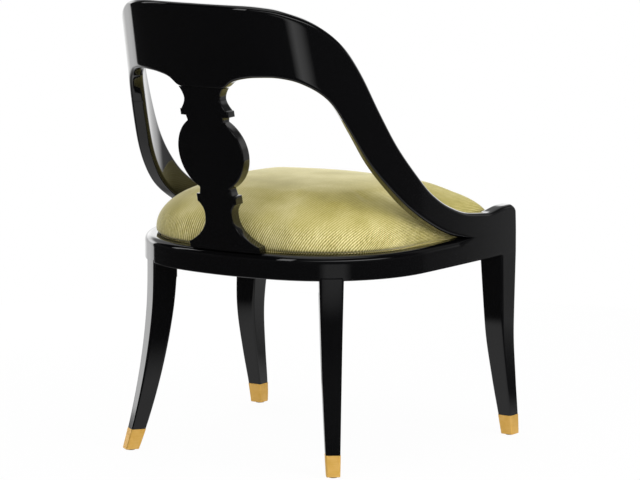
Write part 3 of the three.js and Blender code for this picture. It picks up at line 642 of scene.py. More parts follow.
@dataclass
class Skin:
    """Collects closed skins that together make one mesh."""

    vertices: list[np.ndarray] = field(default_factory=list)
    faces: list = field(default_factory=list)
    count: int = 0

    def _add(self, vertices: np.ndarray, faces: list) -> None:
        """Adds one closed skin, turned outward by the sign of its volume.

        Args:
            vertices: Points of the skin.
            faces: Lists of point numbers.
        """
        fans = np.array([[face[0], face[i], face[i + 1]] for face in faces for i in range(1, len(face) - 1)])
        a, b, c = vertices[fans[:, 0]], vertices[fans[:, 1]], vertices[fans[:, 2]]
        if np.einsum("ij,ij->i", a, np.cross(b, c)).sum() < 0:
            faces = [face[::-1] for face in faces]
        self.faces += [[i + self.count for i in face] for face in faces]
        self.vertices.append(vertices)
        self.count += len(vertices)

    def loft(self, rings: np.ndarray) -> "Skin":
        """Adds a skin through rings, closed at both ends with a lid.

        Args:
            rings: Points, as rings x points x 3.

        Returns:
            This skin, so that calls can be chained.
        """
        n, m = rings.shape[:2]
        r, i = np.meshgrid(np.arange(n - 1), np.arange(m), indexing="ij")
        a = (r * m + i).ravel()
        b = (r * m + (i + 1) % m).ravel()
        quads = np.stack([a, b, b + m, a + m], 1).tolist()
        lids = [list(range(m))[::-1], list(range((n - 1) * m, n * m))]
        self._add(rings.reshape(-1, 3), quads + lids)
        return self

    def mirrored(self) -> "Skin":
        """The same skin on the other side of the chair."""
        flip = np.array([-1.0, 1.0, 1.0])
        return Skin([part * flip for part in self.vertices], [face[::-1] for face in self.faces], self.count)

    def piece(self, name: str) -> bpy.types.Object:
        """Makes the mesh object, smooth apart from its sharp edges.

        Args:
            name: Name of the object and its mesh.

        Returns:
            The object, in the scene.
        """
        mesh = bpy.data.meshes.new(name)
        mesh.from_pydata(np.concatenate(self.vertices).tolist(), [], self.faces)
        mesh.polygons.foreach_set("use_smooth", np.ones(len(mesh.polygons), bool))
        mesh.set_sharp_from_angle(angle=SHARP_ANGLE)
        mesh.update()
        piece = bpy.data.objects.new(name, mesh)
        bpy.context.scene.collection.objects.link(piece)
        return piece


@dataclass
class SeatPlan:
    """Plan curve of the horseshoe frame, and the bent shell that stands on it.

    A station is the arc length from the middle of the back along the outer face: a flat back
    arc, a tight corner arc and a long side arc, whose joints are eased. Heights are above the
    floor. Above the rails the shell leans back, most in the middle of the back.
    """

    back_face: float
    back_radius: float = 521 * MM
    back_turn: float = math.radians(11.65)
    corner_radius: float = 217.5 * MM
    corner_turn: float = math.radians(86.8)
    side_radius: float = 6000 * MM
    side_length: float = 297 * MM
    rail_top: float = 380 * MM
    rail_height: float = 44 * MM
    thickness: float = 26 * MM
    rake: float = 0.238
    rake_fade: float = 0.7
    easing: float = 10 * MM
    spacing: float = 0.5 * MM

    def __post_init__(self) -> None:
        """Integrates the heading along the curve into a table of points."""
        self.side_start = self.turned(math.degrees(self.corner_turn))
        self.frame_end = self.side_start + self.side_length
        self.rail_bottom = self.rail_top - self.rail_height
        reach = self.frame_end + 60 * MM
        half = np.arange(0, reach, self.spacing)
        back_arc = self.back_radius * self.back_turn
        heading = (
            np.minimum(half, back_arc) / self.back_radius
            + np.clip(half - back_arc, 0, self.side_start - back_arc) / self.corner_radius
            + np.maximum(half - self.side_start, 0) / self.side_radius
        )
        whole = blurred(np.r_[-heading[:0:-1], heading], self.spacing, self.easing)
        self._station = np.r_[-half[:0:-1], half]
        self._heading = whole
        middle = len(half) - 1
        step = self.spacing / 2
        along_x = np.r_[0, np.cumsum((np.cos(whole[1:]) + np.cos(whole[:-1])) * step)]
        along_y = np.r_[0, np.cumsum((np.sin(whole[1:]) + np.sin(whole[:-1])) * step)]
        self._x = along_x - along_x[middle]
        self._y = self.back_face - (along_y - along_y[middle])

    def turned(self, degrees: float) -> float:
        """Station where the curve has turned by an angle.

        Args:
            degrees: The angle from the middle of the back.

        Returns:
            The station.
        """
        turn = math.radians(degrees)
        back = min(turn, self.back_turn)
        return self.back_radius * back + self.corner_radius * (turn - back)

    def along_side(self, distance: float) -> float:
        """Station at a distance past the corner."""
        return self.side_start + distance

    def at(self, station: np.ndarray) -> tuple[np.ndarray, np.ndarray, np.ndarray]:
        """Plan point and heading at stations.

        Args:
            station: Arc lengths from the middle of the back.

        Returns:
            Places on X, places on Y and headings.
        """
        x = np.interp(station, self._station, self._x)
        y = np.interp(station, self._station, self._y)
        return x, y, np.interp(station, self._station, self._heading)

    def shell(self, station: np.ndarray, height: np.ndarray, depth: np.ndarray) -> np.ndarray:
        """Points behind the outer face.

        Args:
            station: Arc lengths from the middle of the back.
            height: Heights above the floor.
            depth: Distances behind the outer face.

        Returns:
            Points: the plan point, moved inward by the depth and back by the lean, which is
            rake times the squared cosine of the faded heading, per unit above the rails.
        """
        x, y, heading = self.at(station)
        rake = self.rake * np.cos(self.rake_fade * heading) ** 2
        lean = rake * np.maximum(height - self.rail_top, 0)
        parts = (x - depth * np.sin(heading), y - depth * np.cos(heading) + lean, height)
        return np.stack(np.broadcast_arrays(*parts), -1)

    def beside(
        self, station: np.ndarray, outward: np.ndarray, forward: np.ndarray, height: np.ndarray
    ) -> np.ndarray:
        """Points beside a station.

        Args:
            station: Arc lengths from the middle of the back.
            outward: Distances outward of the outer face.
            forward: Distances forward along the side.
            height: Heights above the floor.

        Returns:
            Points. They don't lean with the shell.
        """
        x, y, heading = self.at(station)
        sine, cosine = np.sin(heading), np.cos(heading)
        parts = (x + outward * sine + forward * cosine, y + outward * cosine - forward * sine, height)
        return np.stack(np.broadcast_arrays(*parts), -1)


@dataclass
class Bar:
    """Section of a bent bar, with all four edges rounded.

    Each edge is a quarter ellipse: deep is its size across the bar and tall its size upright. The
    upper outer edge is brow times the size of the upper inner one. Arc, upright and across are
    the numbers of steps round an edge, up a side and over the top.
    """

    depth: float
    brow: float | np.ndarray = 1.0
    arc: int = 6
    upright: int = 8
    across: int = 4

    def section(
        self,
        bottom: np.ndarray,
        top: np.ndarray,
        low: tuple[np.ndarray, np.ndarray],
        high: tuple[np.ndarray, np.ndarray],
    ) -> tuple[np.ndarray, np.ndarray]:
        """Depths and heights of the section's points at each station.

        Args:
            bottom: Height of the lower face.
            top: Height of the upper face.
            low: Deep and tall sizes of the lower edges.
            high: Deep and tall sizes of the upper edges.

        Returns:
            Depths and heights, as stations x points.
        """
        angle = np.linspace(0, QUARTER, self.arc + 1)
        column = [np.asarray(v)[:, None] for v in (bottom, top, *low, *high)]
        low_z, high_z, low_deep, low_tall, high_deep, high_tall = column
        cut_in, cut_up = 1 - np.sin(angle), 1 - np.cos(angle)
        corners = [
            (self.depth - low_deep * cut_in, low_z + low_tall * cut_up),
            (self.depth - high_deep * cut_in[::-1], high_z - high_tall * cut_up[::-1]),
            (high_deep * self.brow * cut_in, high_z - high_tall * self.brow * cut_up),
            (low_deep * cut_in[::-1], low_z + low_tall * cut_up[::-1]),
        ]
        depths, heights = [], []
        for i, (depth, height) in enumerate(corners):
            following = corners[(i + 1) % 4]
            share = eased(self.upright if i % 2 == 0 else self.across)
            depths += [depth, depth[:, -1:] + (following[0][:, :1] - depth[:, -1:]) * share]
            heights += [height, height[:, -1:] + (following[1][:, :1] - height[:, -1:]) * share]
        return np.concatenate(depths, 1), np.concatenate(heights, 1)


# The chair's sub-assemblies


@dataclass
class SubAssembly:
    """What every sub-assembly has: the plan it stands on and the finishes it is given."""

    plan: SeatPlan
    finishes: Finishes

    def keep(self, piece: bpy.types.Object, slot: Slot, *nodes: str) -> bpy.types.Object:
        """Dresses a finished piece, sets it on the frame and lets it stand for CAD nodes.

        Args:
            piece: The mesh object.
            slot: Its material slot.
            *nodes: The CAD nodes that it replaces.

        Returns:
            The same piece.
        """
        self.finishes.dress(piece, slot)
        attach(piece, "root")
        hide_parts(*nodes)
        log.info("%s: %d faces, stands for %s", piece.name, len(piece.data.polygons), ", ".join(nodes))
        return piece

    def keep_pair(self, skin: Skin, name: str, slot: Slot, node: str) -> None:
        """Makes a skin and its mirror image as the left and the right piece.

        Args:
            skin: The left piece's skin.
            name: Name of the pieces, without their side.
            slot: Their material slot.
            node: Name of the CAD nodes that they replace, without their side.
        """
        for side, half in (("left", skin), ("right", skin.mirrored())):
            self.keep(half.piece(f"{name}_{side}"), slot, f"{node}_{side}")


@dataclass
class BackShell(SubAssembly):
    """Crest rail and arms: one bent shell whose top line falls from the crest to the arms.

    The upper outer edge is brow times as round as the inner one up to brow_turn degrees, and
    from there the difference fades to the side.
    """

    edge_round: float = 6 * MM
    brow: float = 1.6
    brow_turn: float = 40
    crest_rise: float = 440 * MM
    arm_rise: float = 37.8 * MM
    arch_rise: float = 315 * MM
    arm_joint_turn: float = 48
    arm_low: float = 209 * MM
    notch: float = 157 * MM
    ear_rise: float = 44 * MM
    ear_radius: float = 15 * MM
    post_length: float = 49 * MM
    splat_half: float = 46.5 * MM
    splat_rise: float = 292 * MM
    splat_round: float = 3 * MM
    least_round: float = 0.05 * MM
    line_easing: float = 5 * MM
    step: float = 2.4 * MM

    def __post_init__(self) -> None:
        """Tables of the shell's upper and lower lines."""
        turned, side = self.plan.turned, self.plan.along_side
        self.notch_station = side(self.notch)
        self.joint = turned(self.arm_joint_turn)
        self.post_start = self.plan.frame_end - self.post_length
        fall = [
            (0, 0), (turned(11), 0.002), (turned(23), 0.013), (turned(31), 0.035), (turned(39), 0.07),
            (turned(46), 0.12), (turned(52), 0.185), (turned(58.4), 0.304), (turned(65), 0.464),
            (turned(74), 0.637), (turned(85.6), 0.777), (side(0.032), 0.859), (side(0.083), 0.931),
            (side(0.145), 0.981), (side(self.arm_low), 1),
        ]
        arch = [
            (0, self.splat_rise / self.arch_rise), (self.splat_half, self.splat_rise / self.arch_rise),
            (turned(6.9), 0.966), (turned(9.1), 0.985), (turned(12), 0.997), (turned(19.8), 1),
            (turned(28), 0.986), (turned(36), 0.943), (turned(43.6), 0.865), (turned(50.8), 0.698),
            (turned(58.5), 0.508), (turned(67.5), 0.364), (turned(78.3), 0.238), (side(0.021), 0.134),
            (side(0.081), 0.05), (side(0.119), 0.017), (self.notch_station, 0),
        ]
        self._place = np.arange(0, self.plan.frame_end + 20 * MM, self.plan.spacing)
        spacing = self.plan.spacing
        self._fall = blurred(smooth_line(fall, self._place), spacing, self.line_easing)
        self._arch = np.clip(blurred(smooth_line(arch, self._place), spacing, self.line_easing), 0, None)

    def top(self, station: np.ndarray) -> np.ndarray:
        """Height of the upper line. Over the post it swells into the ear, whose front is round.

        Args:
            station: Arc lengths from the middle of the back.

        Returns:
            Heights above the floor.
        """
        length = np.abs(station)
        fall = np.interp(length, self._place, self._fall)
        arm = self.crest_rise - fall * (self.crest_rise - self.arm_rise)
        swell = smoothstep(length, self.plan.along_side(self.arm_low), self.post_start + self.post_length / 3)
        front = np.clip(length - (self.plan.frame_end - self.ear_radius), 0, self.ear_radius)
        drop = self.ear_radius - np.sqrt(self.ear_radius**2 - front**2)
        return self.plan.rail_top + arm + swell * (self.ear_rise - self.arm_rise) - drop

    def arch(self, station: np.ndarray) -> np.ndarray:
        """Height of the lower line, over the openings beside the splat."""
        return self.plan.rail_top + self.arch_rise * np.interp(np.abs(station), self._place, self._arch)

    def rounding(
        self, line: np.ndarray, station: np.ndarray, radius: np.ndarray, height: np.ndarray
    ) -> tuple[np.ndarray, np.ndarray]:
        """Sizes of an edge that climbs: it gets taller with its slope.

        Args:
            line: Heights of the edge.
            station: Stations of those heights.
            radius: Size of the edge where it is level.
            height: Height of the whole section, of which the edge takes a third at most.

        Returns:
            Deep and tall sizes.
        """
        slope = np.gradient(line, station)
        return radius, np.minimum(radius * np.hypot(1, slope), height / 3)

    def rings(self, station: np.ndarray) -> np.ndarray:
        """Rings of the shell.

        Args:
            station: Arc lengths of the rings from the middle of the back.

        Returns:
            Points, as rings x points x 3.
        """
        length = np.abs(station)
        bottom, top = self.arch(station), self.top(station)
        away = smoothstep(length, self.splat_half, self.plan.turned(9))
        lift = smoothstep(self.notch_station - length, 0, self.plan.rail_height)
        level = self.splat_round + (self.edge_round - self.splat_round) * away
        low = np.maximum(level * lift, self.least_round)
        high = np.full_like(station, self.edge_round)
        fade_end = self.plan.along_side(self.arm_low / 4)
        nearness = 1 - smoothstep(length, self.plan.turned(self.brow_turn), fade_end)
        brow = 1 + (self.brow - 1) * nearness[:, None]
        depth, height = Bar(self.plan.thickness, brow).section(
            bottom,
            top,
            self.rounding(bottom, station, low, top - bottom),
            self.rounding(top, station, high, top - bottom),
        )
        return self.plan.shell(station[:, None], height, depth)

    def build(self) -> None:
        """Makes the crest rail and the two arms."""
        count = int(2 * self.joint / self.step)
        crest = Skin().loft(self.rings(np.linspace(-self.joint, self.joint, count)))
        self.keep(crest.piece("crest_rail_lacquered"), Slot.LACQUER, "crest_rail")
        reach = self.post_start - self.joint
        arm = Skin().loft(self.rings(np.linspace(self.joint, self.post_start, int(reach / self.step))))
        self.keep_pair(arm, "arm_lacquered", Slot.LACQUER, "arm")


@dataclass
class SeatRails(SubAssembly):
    """The horseshoe of the back rail and two side rails, and the bowed front rail.

    Their upper outer edges are brow times as round as the inner ones, which is rounder than in
    the CAD.
    """

    shell: BackShell
    edge_round: float = 2.5 * MM
    brow: float = 5.0
    rear_leg_turn: float = 37.3
    post_width: float = 47 * MM
    front_bow: float = 12 * MM
    gap: float = 0.3 * MM
    step: float = 3 * MM

    def bar(self) -> Bar:
        """Section of all the rails."""
        return Bar(self.plan.thickness, brow=self.brow, arc=6, upright=6)

    def rings(self, station: np.ndarray) -> np.ndarray:
        """Rings of a rail. Its upper edges are square where the arm stands on it.

        Args:
            station: Arc lengths of the rings from the middle of the back.

        Returns:
            Points, as rings x points x 3.
        """
        free = np.clip((self.shell.notch_station - np.abs(station)) / self.plan.rail_height, 0, 1)
        low = np.full_like(station, self.edge_round)
        high = np.maximum(self.edge_round * free, self.shell.least_round)
        depth, height = self.bar().section(
            np.full_like(station, self.plan.rail_bottom),
            np.full_like(station, self.plan.rail_top),
            (low, low),
            (high, high),
        )
        return self.plan.shell(station[:, None], height, depth)

    def build(self) -> None:
        """Makes the four rails."""
        joint = self.plan.turned(self.rear_leg_turn)
        back = Skin().loft(self.rings(np.linspace(-joint, joint, int(2 * joint / self.step))))
        self.keep(back.piece("back_rail_lacquered"), Slot.LACQUER, "back_rail")
        end = self.shell.post_start
        side = Skin().loft(self.rings(np.linspace(joint, end, int((end - joint) / self.step))))
        self.keep_pair(side, "side_rail_lacquered", Slot.LACQUER, "side_rail")
        self.keep(self.front().piece("front_rail_lacquered"), Slot.LACQUER, "front_rail")

    def front(self) -> Skin:
        """Front rail: a bar between the posts, bowed forward like a flat parabola."""
        share = np.linspace(-1, 1, 80)
        end = self.plan.beside(self.plan.frame_end, -self.post_width - self.gap, 0.0, 0.0)
        level = np.full_like(share, self.plan.rail_bottom), np.full_like(share, self.plan.rail_top)
        edge = np.full_like(share, self.edge_round)
        inward, height = self.bar().section(*level, (edge, edge), (edge, edge))
        bow = (self.front_bow * (1 - share**2))[:, None]
        x = np.broadcast_to((share * end[0])[:, None], inward.shape)
        return Skin().loft(np.stack([x, end[1] - bow + inward, height], -1))


@dataclass
class LyreSplat(SubAssembly):
    """The pierced splat: plinth, stem, collar, roundel, collar and capital in one board."""

    edge_round: float = 2.2 * MM
    arris: float = 0.9 * MM
    plinth_half: float = 74 * MM
    plinth_height: float = 11.5 * MM
    stem_half: float = 28.5 * MM
    stem_rise: float = 66 * MM
    lower_collar: tuple[float, float, float] = (85.5 * MM, 15 * MM, 41 * MM)
    collar_step: float = 2.5 * MM
    neck_half: float = 31 * MM
    roundel_radius: float = 68.3 * MM
    roundel_rise: float = 174 * MM
    throat_half: float = 36.6 * MM
    upper_collar: tuple[float, float, float] = (241 * MM, 11 * MM, 50 * MM)
    capital_half: float = 37.3 * MM
    capital_rise: float = 272 * MM
    top_rise: float = 292 * MM
    top_half: float = 46.5 * MM

    def profile(self) -> np.ndarray:
        """Rises above the rails and half widths, from the plinth up.

        A cove narrows fast and then slowly, a flare widens slowly and then fast, and the
        roundel is an arc between the neck and the throat.
        """
        low_z, low_high, low_half = self.lower_collar
        up_z, up_high, up_half = self.upper_collar
        step = self.collar_step
        start = math.asin(self.neck_half / self.roundel_radius)
        end = math.pi - math.asin(self.throat_half / self.roundel_radius)

        def cove(z0: float, w0: float, z1: float, w1: float, power: float, count: int) -> np.ndarray:
            """Curve that narrows with a power of the remaining rise.

            Args:
                z0: Rise at the start.
                w0: Half width at the start.
                z1: Rise at the end.
                w1: Half width at the end.
                power: The power.
                count: Number of points.

            Returns:
                Rises and half widths.
            """
            t = np.linspace(0, 1, count)
            return np.stack([z0 + (z1 - z0) * t, w1 + (w0 - w1) * (1 - t) ** power], 1)

        def flare(z0: float, w0: float, z1: float, w1: float, power: float, count: int) -> np.ndarray:
            """Curve that widens with a power of the rise; its arguments are those of cove."""
            t = np.linspace(0, 1, count)[1:]
            return np.stack([z0 + (z1 - z0) * t, w0 + (w1 - w0) * t**power], 1)

        angle = np.linspace(start, end, 56)
        roundel = np.stack(
            [self.roundel_rise - self.roundel_radius * np.cos(angle), self.roundel_radius * np.sin(angle)], 1
        )
        return np.concatenate([
            [(0, self.plinth_half), (self.plinth_height, self.plinth_half)],
            cove(self.plinth_height, self.plinth_half - step, self.stem_rise, self.stem_half, 2.5, 28),
            flare(self.stem_rise, self.stem_half, low_z, low_half - step, 2, 14),
            [(low_z, low_half), (low_z + low_high, low_half), (low_z + low_high, self.neck_half + step)],
            roundel,
            [(up_z, self.throat_half + step), (up_z, up_half), (up_z + up_high, up_half)],
            cove(up_z + up_high, up_half - step, self.capital_rise, self.capital_half, 1.7, 16),
            flare(self.capital_rise, self.capital_half, self.top_rise, self.top_half, 1.7, 16),
        ])

    def softened(self, profile: np.ndarray) -> np.ndarray:
        """Rounds the profile's sharp corners with three points each.

        Args:
            profile: Rises and half widths.

        Returns:
            The longer profile.
        """
        before, here, after = profile[:-2], profile[1:-1], profile[2:]
        back, ahead = before - here, after - here
        length = np.stack([np.linalg.norm(back, axis=1), np.linalg.norm(ahead, axis=1)])
        cosine = (back * ahead).sum(1) / np.maximum(length.prod(0), 1e-12)
        sharp = np.r_[False, cosine > -0.9, False]
        reach = np.minimum(self.arris, length / 2.5) / np.maximum(length, 1e-9)
        enter = here + back * reach[0][:, None]
        leave = here + ahead * reach[1][:, None]
        middle = 0.25 * enter + 0.5 * here + 0.25 * leave
        copies = np.where(sharp, 3, 1)
        result = np.repeat(profile, copies, axis=0)
        first = (np.cumsum(copies) - copies)[sharp]
        chosen = sharp[1:-1]
        result[first], result[first + 1], result[first + 2] = enter[chosen], middle[chosen], leave[chosen]
        return result

    def build(self) -> None:
        """Makes the splat: an outline with rounded corners at each rise of the profile."""
        rise, half = self.softened(self.profile()).T
        far, r = self.plan.thickness, self.edge_round
        angle = np.linspace(0, QUARTER, 5)
        out, back = r * np.sin(angle), r * (1 - np.cos(angle))
        flat = np.r_[-1, eased(14) * 2 - 1, 1]
        side = np.linspace(r, far - r, 5)[1:-1]
        inner = (half - r)[:, None]
        edge = np.repeat(half[:, None], len(side), 1)
        right = np.concatenate([inner * flat[1:-1], inner + out, edge, inner + out[::-1]], 1)
        depth = np.concatenate([np.zeros(len(flat) - 2), back, side, far - back[::-1]])
        stations = np.concatenate([right, -right], 1)
        depths = np.concatenate([depth, far - depth])
        rings = self.plan.shell(stations, (self.plan.rail_top + rise)[:, None], depths[None, :])
        self.keep(Skin().loft(rings).piece("splat_lacquered"), Slot.LACQUER, "splat")


@dataclass
class Leg:
    """Square section of a sabre leg by height.

    Its outer face, its place along the side and its two half sizes are curves over the height.
    """

    plan: SeatPlan
    station: float
    half_deep: float
    half_wide: float
    foot_half: float = 11.4 * MM
    taper_power: float = 0.85
    edge_round: float = 2.5 * MM

    def face(self, height: np.ndarray) -> np.ndarray:
        """Outward place of the outer face."""
        raise NotImplementedError

    def forward(self, height: np.ndarray) -> np.ndarray:
        """Forward place of the middle."""
        return np.zeros_like(height)

    def hug(self, height: np.ndarray) -> np.ndarray:
        """How fully the outer face follows the bend of the rail, from 0 to 1."""
        return np.zeros_like(height)

    def rings(
        self, height: np.ndarray, inset: np.ndarray, inner_depth: np.ndarray | None = None
    ) -> np.ndarray:
        """Rings of the leg.

        Args:
            height: Heights of the rings.
            inset: How much smaller each ring is all round.
            inner_depth: Where given, how deep behind the rail's face the inner side lies.

        Returns:
            Points, as rings x points x 3.
        """
        level = np.minimum(height, self.plan.rail_bottom)
        share = (level / self.plan.rail_bottom) ** self.taper_power
        deep = self.foot_half + (self.half_deep - self.foot_half) * share
        wide = self.foot_half + (self.half_wide - self.foot_half) * share
        middle = self.face(height) - deep
        near, far = deep - inset, -(deep - inset)
        if inner_depth is not None:
            far = np.where(np.isnan(inner_depth), far, -inner_depth - middle)
        side = wide - inset
        r = self.edge_round
        angle = np.linspace(0, QUARTER, 5)
        round_in = r * (1 - np.cos(angle))
        round_out = r * (1 - np.sin(angle))
        flat = eased(6)

        def edge(start: np.ndarray, stop: np.ndarray) -> np.ndarray:
            """Points between two corners."""
            return start + (stop - start) * flat

        n, f, s = near[:, None], far[:, None], side[:, None]
        level_run = np.ones((len(height), len(flat)))
        u = np.concatenate([
            n - round_in[None], edge(n - r, f + r), f + round_in[::-1][None], f * level_run,
            f + round_in[None], edge(f + r, n - r), n - round_in[::-1][None], n * level_run,
        ], 1)
        v = np.concatenate([
            s - round_out[None], s * level_run, s - round_out[::-1][None], edge(s - r, -s + r),
            -s + round_out[None], -s * level_run, -s + round_out[::-1][None], edge(-s + r, s - r),
        ], 1)
        bend = self.hug(height)[:, None] * np.clip((u - f) / (n - f), 0, 1)
        outward = middle[:, None] + u - bend * v**2 / (2 * self.plan.corner_radius)
        return self.plan.beside(self.station, outward, self.forward(height)[:, None] + v, height[:, None])


@dataclass
class RearLeg(Leg):
    """Rear sabre leg, which sweeps out behind a corner of the frame."""

    splay: float = 51.5 * MM
    recess: float = 1.5 * MM
    power: float = 1.9
    blend: float = 90 * MM
    proud: float = 0.12 * MM

    def face(self, height: np.ndarray) -> np.ndarray:
        """Outer face: flush with the rail at the top, then out like a power of the fall.

        Args:
            height: Heights above the floor.

        Returns:
            Distances outward of the rail's face.
        """
        level = np.minimum(height, self.plan.rail_bottom)
        flush = smoothstep(height, self.plan.rail_bottom - self.blend, self.plan.rail_bottom)
        sweep = self.splay * (1 - level / self.plan.rail_bottom) ** self.power
        return sweep - self.recess * (1 - flush) + self.proud * flush

    def hug(self, height: np.ndarray) -> np.ndarray:
        """Flat along the leg, and bent like the rail where it meets it."""
        return smoothstep(height, self.plan.rail_bottom - self.blend, self.plan.rail_bottom)


@dataclass
class FrontLeg(Leg):
    """Front sabre leg under the post, which swells a little and sweeps forward."""

    sweep: float = 28 * MM
    bow: float = 6.5 * MM
    swell: float = 3.5 * MM
    bow_height: float = 205 * MM
    shoe_top: float = 38 * MM
    easing: float = 14 * MM

    def __post_init__(self) -> None:
        """Tables of the sweep and the swell, eased over the height."""
        self._height = np.arange(-0.05, self.plan.rail_bottom + 0.05, 0.5 * MM)
        sweep = [
            (0, self.sweep), (self.shoe_top, self.sweep * 0.78), (self.bow_height / 2, self.sweep * 0.29),
            (self.bow_height, -self.bow), (self.plan.rail_bottom, 0),
        ]
        swell = [(0, -self.swell * 0.4), (self.bow_height, self.swell), (self.plan.rail_bottom, 0)]
        self._sweep = blurred(smooth_line(sweep, self._height), 0.5 * MM, self.easing)
        self._swell = blurred(smooth_line(swell, self._height), 0.5 * MM, self.easing)

    def face(self, height: np.ndarray) -> np.ndarray:
        """Outer face: level with the post and a little fuller half way down."""
        return np.interp(height, self._height, self._swell)

    def forward(self, height: np.ndarray) -> np.ndarray:
        """Forward sweep: back under the post, then forward to the foot."""
        return np.interp(height, self._height, self._sweep)


@dataclass
class LegsAndShoes(SubAssembly):
    """Four sabre legs with their posts and ears, and the brass shoes on their feet."""

    shell: BackShell
    rails: SeatRails
    shoe_bottom: float = 2 * MM
    shoe_height: float = 36 * MM
    shoe_wall: float = 1.5 * MM
    shoe_proud: float = 0.5 * MM
    shoe_floor: float = 2 * MM
    shoe_arris: float = 0.35 * MM
    gap: float = 0.3 * MM
    front_edge: float = 2.5 * MM
    housed: float = 9 * MM
    tongue_depth: float = 18 * MM
    tongue_half: float = 19 * MM
    seat_rest: float = 364.2 * MM
    rear_half_deep: float = 22.5 * MM
    rear_half_wide: float = 21.5 * MM
    cheek_start: float = 13 * MM
    cheek_end: float = 46.7 * MM

    def __post_init__(self) -> None:
        """The two kinds of leg."""
        plan = self.plan
        corner = plan.turned(self.rails.rear_leg_turn)
        self.rear = RearLeg(plan, corner, self.rear_half_deep, self.rear_half_wide)
        post_half = self.shell.post_length / 2
        self.front = FrontLeg(plan, plan.frame_end - post_half, self.rails.post_width / 2, post_half)

    def leg_rings(
        self, leg: Leg, top: np.ndarray, top_inset: np.ndarray, inner: np.ndarray | None
    ) -> np.ndarray:
        """Rings from the tip inside the shoe to given rings above the rail's lower edge.

        Args:
            leg: The leg.
            top: Heights of the rings above the rail's lower edge.
            top_inset: How much smaller those rings are all round.
            inner: Where given, how deep behind the rail's face their inner side lies.

        Returns:
            Points, as rings x points x 3.
        """
        shoe_top = self.shoe_bottom + self.shoe_height
        tip = self.shoe_wall + self.gap - self.shoe_proud
        shaft = np.linspace(shoe_top, self.plan.rail_bottom, 70)
        height = np.r_[self.shoe_bottom + self.shoe_floor + self.gap, shoe_top - self.gap, shaft, top]
        inset = np.r_[tip, tip, np.zeros_like(shaft), top_inset]
        if inner is not None:
            inner = np.r_[np.full(len(height) - len(top), np.nan), inner]
        return leg.rings(height, inset, inner)

    def rear_leg(self) -> Skin:
        """Rear leg: housed a little way in the rail's face, with a tongue behind the rail."""
        bottom = self.plan.rail_bottom
        top = np.array([0.0, 0.35, 0.55, 0.8, 1.0]) * self.housed + bottom
        inset = np.array([0.0, 0.0, 0.0, 0.25, 0.7]) * MM
        inner = np.full(5, self.plan.thickness - 1 * MM)
        skin = Skin().loft(self.leg_rings(self.rear, top, inset, inner))
        bend = self.plan.corner_radius - self.plan.thickness - self.gap
        sagitta = bend - math.sqrt(bend**2 - (self.rear.half_wide) ** 2)
        near = self.plan.thickness + self.gap + sagitta
        far = self.plan.thickness + self.gap + self.tongue_depth
        outline = np.array([(-near, -1.0), (-near, 1.0), (-far, 1.0), (-far, -1.0)])
        level = np.array([bottom - self.plan.thickness, self.seat_rest])[:, None]
        outward, forward = outline[:, 0][None], outline[:, 1][None] * self.tongue_half
        return skin.loft(self.plan.beside(self.rear.station, outward, forward, level))

    def front_leg(self) -> Skin:
        """Front leg, with the post and the ear that rise from it and a cheek beside the rail."""
        plan, r = self.plan, self.front_edge
        top = np.array([plan.rail_bottom, plan.rail_bottom + 5 * MM])
        inset = np.array([1.0, 1.0]) * MM
        skin = Skin().loft(self.leg_rings(self.front, top, inset, None))
        front = plan.frame_end - self.shell.ear_radius
        run = np.linspace(self.shell.post_start, front, 16)
        turn = np.linspace(0, 1, 14)[1:] ** 0.7
        station = np.r_[run, front + (self.shell.ear_radius - r) * turn]
        angle = np.linspace(0, QUARTER, 7)[1:]
        last = plan.frame_end - r
        station = np.r_[station, last + r * np.sin(angle)]
        shrink = np.r_[np.zeros(len(run) + len(turn)), r * (1 - np.cos(angle))]
        line = self.shell.top(station)
        slope = np.gradient(self.shell.top(run), run)
        slope = np.r_[slope, np.full(len(station) - len(run), slope[-1])]
        edge = np.full_like(station, self.shell.edge_round)
        depth, height = Bar(plan.thickness).section(
            np.full_like(station, plan.rail_bottom),
            line,
            (np.full_like(station, self.shell.least_round),) * 2,
            (edge, edge * np.hypot(1, slope)),
        )
        middle = plan.thickness / 2
        depth = middle + (depth - middle) * (1 - shrink / middle)[:, None]
        skin.loft(plan.shell(station[:, None], height, depth))
        inner = np.array([
            (plan.thickness - 1 * MM, 0.0), (self.rails.post_width, 0.0),
            (self.rails.post_width, 1.0), (plan.thickness - 1 * MM, 1.0),
        ])
        run = np.linspace(self.shell.post_start, plan.frame_end - 0.5 * MM, 12)[:, None]
        height = plan.rail_bottom + inner[:, 1] * (self.seat_rest - plan.rail_bottom)
        skin.loft(plan.shell(run, height[None], inner[:, 0][None]))
        cheek = np.array([
            (self.cheek_start, 0.3 * MM), (self.cheek_end, 0.3 * MM),
            (self.cheek_end, 1.0), (self.cheek_start, 1.0),
        ])
        run = np.linspace(plan.frame_end - plan.thickness, plan.frame_end - 0.8 * MM, 6)[:, None]
        height = np.where(cheek[:, 1] == 1, plan.rail_top - 0.2 * MM, plan.rail_bottom + cheek[:, 1])
        return skin.loft(plan.shell(run, height[None], cheek[:, 0][None]))

    def shoe(self, leg: Leg) -> Skin:
        """Brass shoe: an open box round the foot, with a fine arris on its edges.

        Args:
            leg: The leg that it fits.

        Returns:
            The shoe's skin.
        """
        a, proud, inner = self.shoe_arris, -self.shoe_proud, self.shoe_wall - self.shoe_proud
        low, high = self.shoe_bottom, self.shoe_bottom + self.shoe_height
        wall = np.linspace(low + 2 * a, high - 2 * a, 6)
        height = np.r_[low, low + a, wall, high - a, high, high, low + self.shoe_floor]
        inset = np.r_[proud + a, proud, np.full(6, proud), proud, proud + a, inner, inner]
        return Skin().loft(leg.rings(height, inset))

